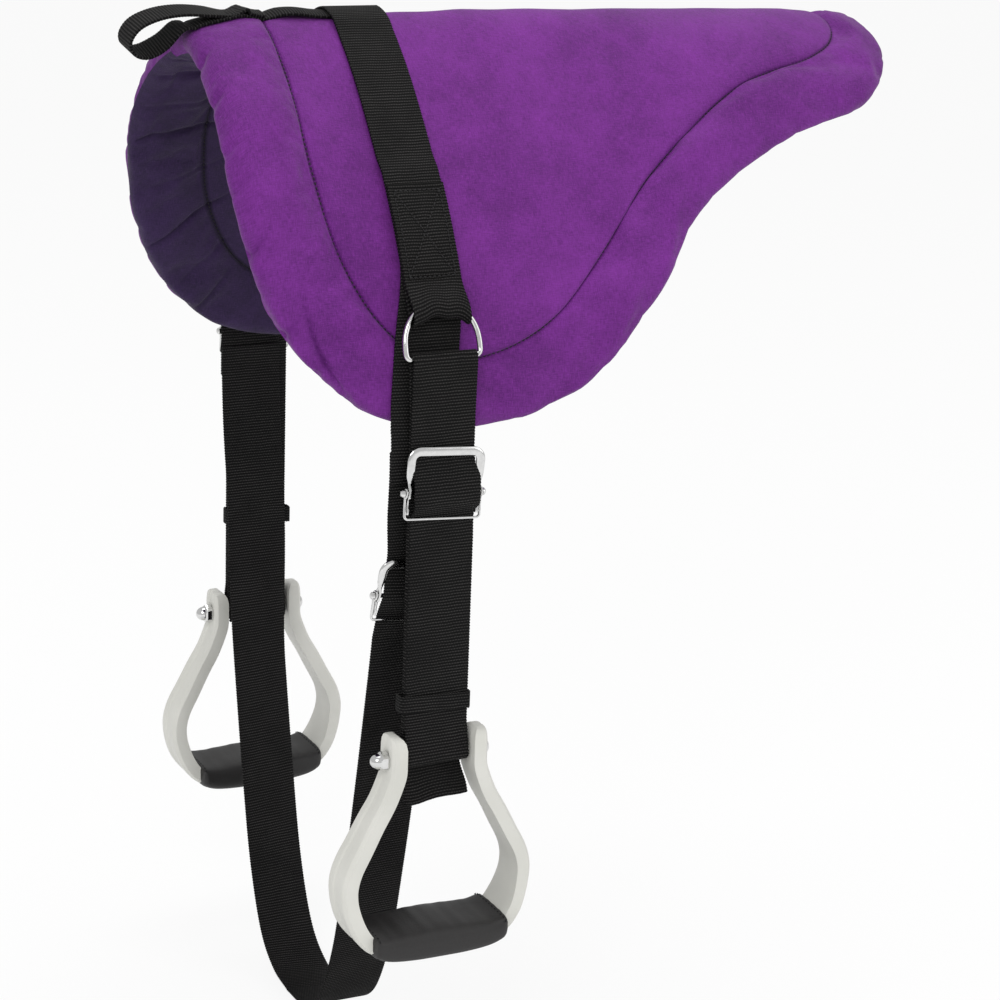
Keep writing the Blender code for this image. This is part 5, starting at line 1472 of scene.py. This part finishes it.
def add_buckle(prefix, strap_body, loop_body, place, up, out, tilt, top=BUCKLE_TOP):
    """The frame, crossbar and wire loop of one buckle; place is the middle of its crossbar."""
    across = Vector((math.cos(tilt), 0.0, 0.0)) + up * math.sin(tilt)
    rise = up * math.cos(tilt) - Vector((math.sin(tilt), 0.0, 0.0))
    bow = top_bar_out - crossbar_out
    leg = [
        (-0.0150, 0.0011, 0.0020), (-0.0120, 0.0011, 0.0022), (-0.0104, 0.0009, 0.0013),
        (-0.0050, 0.0009, 0.0013), (-0.0030, 0.0011, 0.0032), (0.0030, 0.0011, 0.0032),
        (0.0058, 0.0011, 0.0019), (0.0082, 0.0017, 0.0017), (0.0112, 0.0027, 0.0016),
        (0.0150, 0.0032, 0.0015), (top - FRAME_CORNER, 0.0033, 0.0015)
    ]
    left = [(-FRAME_LEG, v, bow * max(v, 0.0) / top, wide, deep) for v, wide, deep in leg]
    corner = quarter(FRAME_LEG - FRAME_CORNER, top - FRAME_CORNER, FRAME_CORNER, 1)
    left += [(u, v, bow * v / top, 0.0033, 0.0015) for u, v in corner]
    left += [(u, top, bow, 0.0033, 0.0015) for u in (FRAME_CORNER - FRAME_LEG, -0.007)]
    rings = rod_rings(left, place, across, rise, out)
    grown(prefix + "_buckle_frame_pressed", rings, strap_body, prefix + "_buckle_frame")

    hang = lower_wire_out - crossbar_out
    wire = [
        (0.0036, 0.0007, 0.0016), (0.0018, 0.0007, 0.0033), (-0.0018, 0.0007, 0.0033),
        (-0.0042, 0.0008, 0.0015)
    ]
    left = [(-LOOP_LEG, v, 0.0, wide, deep) for v, wide, deep in wire]
    bend = WIRE_RADIUS * 3
    left.append((-LOOP_LEG, bend - BUCKLE_LOWER, hang * 0.8, WIRE_RADIUS, WIRE_RADIUS))
    corner = quarter(LOOP_LEG - bend, bend - BUCKLE_LOWER, bend, -1)
    left += [(u, v, hang, WIRE_RADIUS, WIRE_RADIUS) for u, v in corner]
    left.append((bend - LOOP_LEG, -BUCKLE_LOWER, hang, WIRE_RADIUS, WIRE_RADIUS))
    rings = rod_rings(left, place, across, rise, out)
    grown(prefix + "_buckle_loop_wire", rings, loop_body, prefix + "_buckle_loop")

    end = LOOP_LEG + 0.0010
    half = [
        (end + 0.0026, 0.0004), (end + 0.0024, 0.0018), (end + 0.0014, 0.0027), (end, 0.0028), (end, 0.0017)
    ]
    rings = turned_rings(half + [(-x, radius) for x, radius in reversed(half)])
    rings = [[place + across * p.x + out * p.y + out.cross(across) * p.z for p in ring] for ring in rings]
    grown(prefix + "_buckle_crossbar", rings, strap_body, prefix + "_buckle_bar")


NEAR_BUCKLE_TILT = math.radians(-4.5)
for prefix, side in SIDES:
    tilt = NEAR_BUCKLE_TILT if side < 0 else 0.0
    place = box_middle(prefix + "_buckle_bar")
    strap_body, loop_body = prefix + "_strap_body", prefix + "_loop_body"
    add_buckle(
        prefix, strap_body, loop_body, place, Vector((0.0, 0.0, 1.0)), Vector((0.0, side, 0.0)), tilt
    )
girth_place = girth_bar.copy()
girth_place.x = GIRTH_SHIFT + girth_sway(-1, girth_top - girth_bar.z)
girth_rise, girth_face = Vector((0.0, -girth_up.x, girth_up.y)), Vector((0.0, -girth_out.x, girth_out.y))
girth_frame = (girth_place, girth_rise, girth_face, GIRTH_BUCKLE_TILT, GIRTH_BUCKLE_TOP)
add_buckle("girth", "girth_body", "girth_loop_body", *girth_frame)

# %% [markdown]
# The bow of a stirrup is moulded in one piece: two arms with a rounded tip, flat faces with crisp edges and
# a shallow groove down the outer side, widening to the bar under the foot. An acorn nut closes the bolt.

# %% Stirrup bows and nuts
ARM_OFFSET = WEBBING_WIDTH / 2 + 0.0075
ARM_TOP = 0.0190
NUT_FLATS = 0.0130
BOW_SKEW = 0.035
ARM_THICKNESS = 0.0115
STIRRUP_DROP = 0.145
ARM_SHARES = (
    (0.442, 0.00), (0.446, -0.06), (0.480, -0.12), (0.562, -0.22), (0.676, -0.32), (0.800, -0.44),
    (0.896, -0.53), (0.945, -0.60), (0.960, -0.67), (0.934, -0.76), (0.862, -0.86), (0.745, -0.94),
    (0.580, -0.982), (0.300, -0.998), (0.000, -1.00)
)
STIRRUP_HALF_WIDTH = ARM_OFFSET / ARM_SHARES[0][0]
TIP_ROWS = (
    (1.0, 0.30, 0.34), (0.97, 0.55, 0.58), (0.90, 0.74, 0.78), (0.76, 0.90, 0.92), (0.50, 0.99, 1.0)
)
WIDENING = ((0.0, 0.024), (0.25, 0.0245), (0.50, 0.028), (0.72, 0.030), (0.86, 0.036), (1.0, 0.038))
ARM_OUTLINE = (
    (-1.0, -1.0), (1.0, -1.0), (1.0, 0.62), (0.80, 1.0), (0.34, 1.0), (0.24, 0.84), (-0.24, 0.84),
    (-0.34, 1.0), (-0.80, 1.0), (-1.0, 0.62)
)
bow_half = smooth_curve([(STIRRUP_HALF_WIDTH * x, STIRRUP_DROP * z) for x, z in ARM_SHARES], 4)


def bow_rings(side, plane):
    """Outlines along the whole bow, one for each point of its middle line."""
    tips = [(Vector((ARM_OFFSET, ARM_TOP * high)), depth, thick) for high, depth, thick in TIP_ROWS]
    half = tips + [(point, 1.0, 1.0) for point in bow_half]
    line = [(Vector((-p.x, p.y)), d, t) for p, d, t in half] + list(reversed(half[:-1]))
    rings = []
    for i, (point, depth, thick) in enumerate(line):
        run = (line[min(i + 1, len(line) - 1)][0] - line[max(i - 1, 0)][0]).normalized()
        normal = Vector((run.y, -run.x))
        half_depth = interpolate(WIDENING, -point.y / STIRRUP_DROP) / 2 * depth
        half_thick = ARM_THICKNESS / 2 * thick
        shift = (ARM_THICKNESS / 2 - half_thick) * 0.8
        ring = []
        for w, n in ARM_OUTLINE:
            flat = point + normal * (n * half_thick + shift)
            level = BOLT_LEVEL + flat.y - (BOW_SKEW * flat.x if side < 0 else 0.0)
            ring.append(Vector((flat.x, side * plane + w * half_depth, level)))
        rings.append(ring)
    return rings


def nut_rings(place, side_x):
    """A hexagon that rounds off to a dome, pointing along side_x."""
    levels = [(0.0, 1.0, 1.0), (0.0046, 1.0, 1.0), (0.0056, 0.92, 0.5), (0.0060, 0.88, 0.0)]
    levels += [(0.0060 + 0.0062 * math.sin(a), 0.88 * math.cos(a), 0.0) for a in (0.3, 0.6, 0.9, 1.2, 1.42)]
    rings = []
    for along, size, hexagon in levels:
        ring = []
        for k in range(24):
            turn = 2 * math.pi * k / 24
            corner = 1 / math.cos((turn + math.pi / 6) % (math.pi / 3) - math.pi / 6)
            radius = NUT_FLATS / 2 * size * (1 + (corner - 1) * hexagon)
            ring.append(place + Vector((side_x * along, radius * math.cos(turn), radius * math.sin(turn))))
        rings.append(ring)
    return rings


stirrup_plane = box_middle("off_bolt_sleeve").y
for prefix, side in SIDES:
    body = prefix + "_stirrup_body"
    rings = bow_rings(side, stirrup_plane)
    grown(prefix + "_stirrup_bow", rings, body, prefix + "_stirrup", "stirrup_polymer", edge=0.0011)
    nut_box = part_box(prefix + "_bolt_nut")
    side_x = 1 if nut_box[0].x > 0 else -1
    seat = Vector((min(nut_box[0].x, nut_box[1].x, key=abs), side * stirrup_plane, BOLT_LEVEL))
    seat.z -= BOW_SKEW * seat.x if side < 0 else 0.0
    grown(prefix + "_acorn_nut", nut_rings(seat, side_x), body, prefix + "_bolt_nut", angle=28)

# %% [markdown]
# The foot rests on a pad under a tight wrap of dark leatherette. Its top is nearly flat and falls a little
# towards both ends, and a row of stitches closes the wrap at each end.

# %% Treads
TREAD_HALF = 0.055
TREAD_DEPTH = 0.052
TREAD_HIGH = 0.0162
TREAD_LOW = 0.0088
TREAD_OUTLINE = (
    (-0.88, 0.97), (-0.45, 1.0), (0.0, 1.0), (0.45, 1.0), (0.88, 0.97), (1.0, 0.70), (1.0, 0.10),
    (0.97, -0.55), (0.72, -0.97), (0.0, -1.0), (-0.72, -0.97), (-0.97, -0.55), (-1.0, 0.10), (-1.0, 0.70)
)


def tread_middle(x):
    for a, b in zip(bow_half, bow_half[1:]):
        if b.y < -STIRRUP_DROP * 0.7 and b.x <= abs(x):
            return a.y + (b.y - a.y) * (a.x - abs(x)) / (a.x - b.x)
    return -STIRRUP_DROP


def tread_rings(side, plane):
    rings = []
    for i in range(29):
        x = TREAD_HALF * (i / 14 - 1)
        end = abs(i / 14 - 1)
        middle = tread_middle(x)
        closing = 1 - 0.05 * smooth_step((end - 0.93) / 0.07)
        high = (TREAD_HIGH - 0.0068 * end**2) * closing
        wobble = 0.0002 * math.sin(x * 410.0) + 0.0002 * math.sin(x * 933.0 + 1.0)
        middle -= BOW_SKEW * x if side < 0 else 0.0
        ring = []
        for w, n in TREAD_OUTLINE:
            z = middle + (n * (high + wobble) if n > 0 else n * TREAD_LOW * closing)
            ring.append(Vector((x, side * plane + w * TREAD_DEPTH / 2 * closing, BOLT_LEVEL + z)))
        rings.append(ring)
    return rings


for prefix, side in SIDES:
    body = prefix + "_stirrup_body"
    rings = tread_rings(side, stirrup_plane)
    grown(prefix + "_tread_cover", rings, body, prefix + "_tread", "tread_wrap", levels=1, angle=40)
    rows = []
    for k in (1, -2):
        middle = sum(rings[k], Vector()) / len(rings[k])
        top = rings[k][13:] + rings[k][:6]
        rows.append([(p + (p - middle).normalized() * 0.0003, (p - middle).normalized()) for p in top])
    add_stitches(prefix + "_tread_stitches", rows, body, pitch=0.0046)

# %% [markdown]
# A pale floor and plain soft light: one large lamp high on the left in front, a weaker one on the right,
# one overhead, and a bright plain world. The camera sees a white background.

# %% Floor, lamps and world
FLOOR_LEVEL = cad_low.z - 0.003
ground = {"size": 60.0, "location": (0.0, 0.0, FLOOR_LEVEL)}
floor = add_primitive("floor", bpy.ops.mesh.primitive_plane_add, **ground)
floor_paint, floor_shader, floor_shade = start_finish("floor_paint")
floor_shader.inputs["Base Color"].default_value = (0.93, 0.93, 0.93, 1.0)
floor_shader.inputs["Roughness"].default_value = 0.9
floor_shader.inputs["Specular IOR Level"].default_value = 0.1


def sees_backdrop(shade):
    """1 for the rays that find a white background: those from the camera, also through clear things."""
    camera_ray = shade.node("ShaderNodeLightPath", {}, {}, 0)
    clear_ray = shade.node("ShaderNodeLightPath", {}, {}, 6)
    return shade.maths("MAXIMUM", camera_ray, clear_ray)


FLOOR_WHITE = 0.88
white = floor_shade.node("ShaderNodeEmission", {}, {"Color": (1, 1, 1, 1), "Strength": 1.0})
painted = Shade(floor_shade.tree, floor_shader.outputs["BSDF"])
sockets = {0: sees_backdrop(floor_shade) * FLOOR_WHITE, 1: painted, 2: white}
mixed = floor_shade.node("ShaderNodeMixShader", {}, sockets)
output = next(n for n in floor_shade.tree.nodes if n.type == "OUTPUT_MATERIAL")
floor_shade.tree.links.new(mixed.socket, output.inputs["Surface"])
floor.data.materials.append(floor_paint)


def add_lamp(name, place, target, size, power):
    bpy.ops.object.light_add(type="AREA", location=place)
    lamp = bpy.context.object
    lamp.name = name
    lamp.data.size = size
    lamp.data.energy = power
    aim = Vector(target) - Vector(place)
    lamp.rotation_mode = "QUATERNION"
    lamp.rotation_quaternion = aim.to_track_quat("-Z", "Y")


add_lamp("key_lamp", (-1.8, -2.4, 1.9), (0.1, 0.0, -0.25), 1.6, 42)
add_lamp("fill_lamp", (2.4, -1.9, 0.6), (0.1, 0.0, -0.25), 2.0, 12)
add_lamp("top_lamp", (0.3, 0.3, 2.4), (0.1, 0.0, -0.1), 1.6, 28)

WORLD_LEVEL = 0.62
world = bpy.data.worlds.new("plain_world")
bpy.context.scene.world = world
world.use_nodes = True
world_shade = Shade(world.node_tree)
backdrop = world.node_tree.nodes["Background"]
backdrop.inputs["Color"].default_value = (1.0, 1.0, 1.0, 1.0)
level_sum = sees_backdrop(world_shade) * (1 - WORLD_LEVEL) + WORLD_LEVEL
world.node_tree.links.new(level_sum.socket, backdrop.inputs["Strength"])

bpy.context.scene.view_settings.view_transform = "Standard"
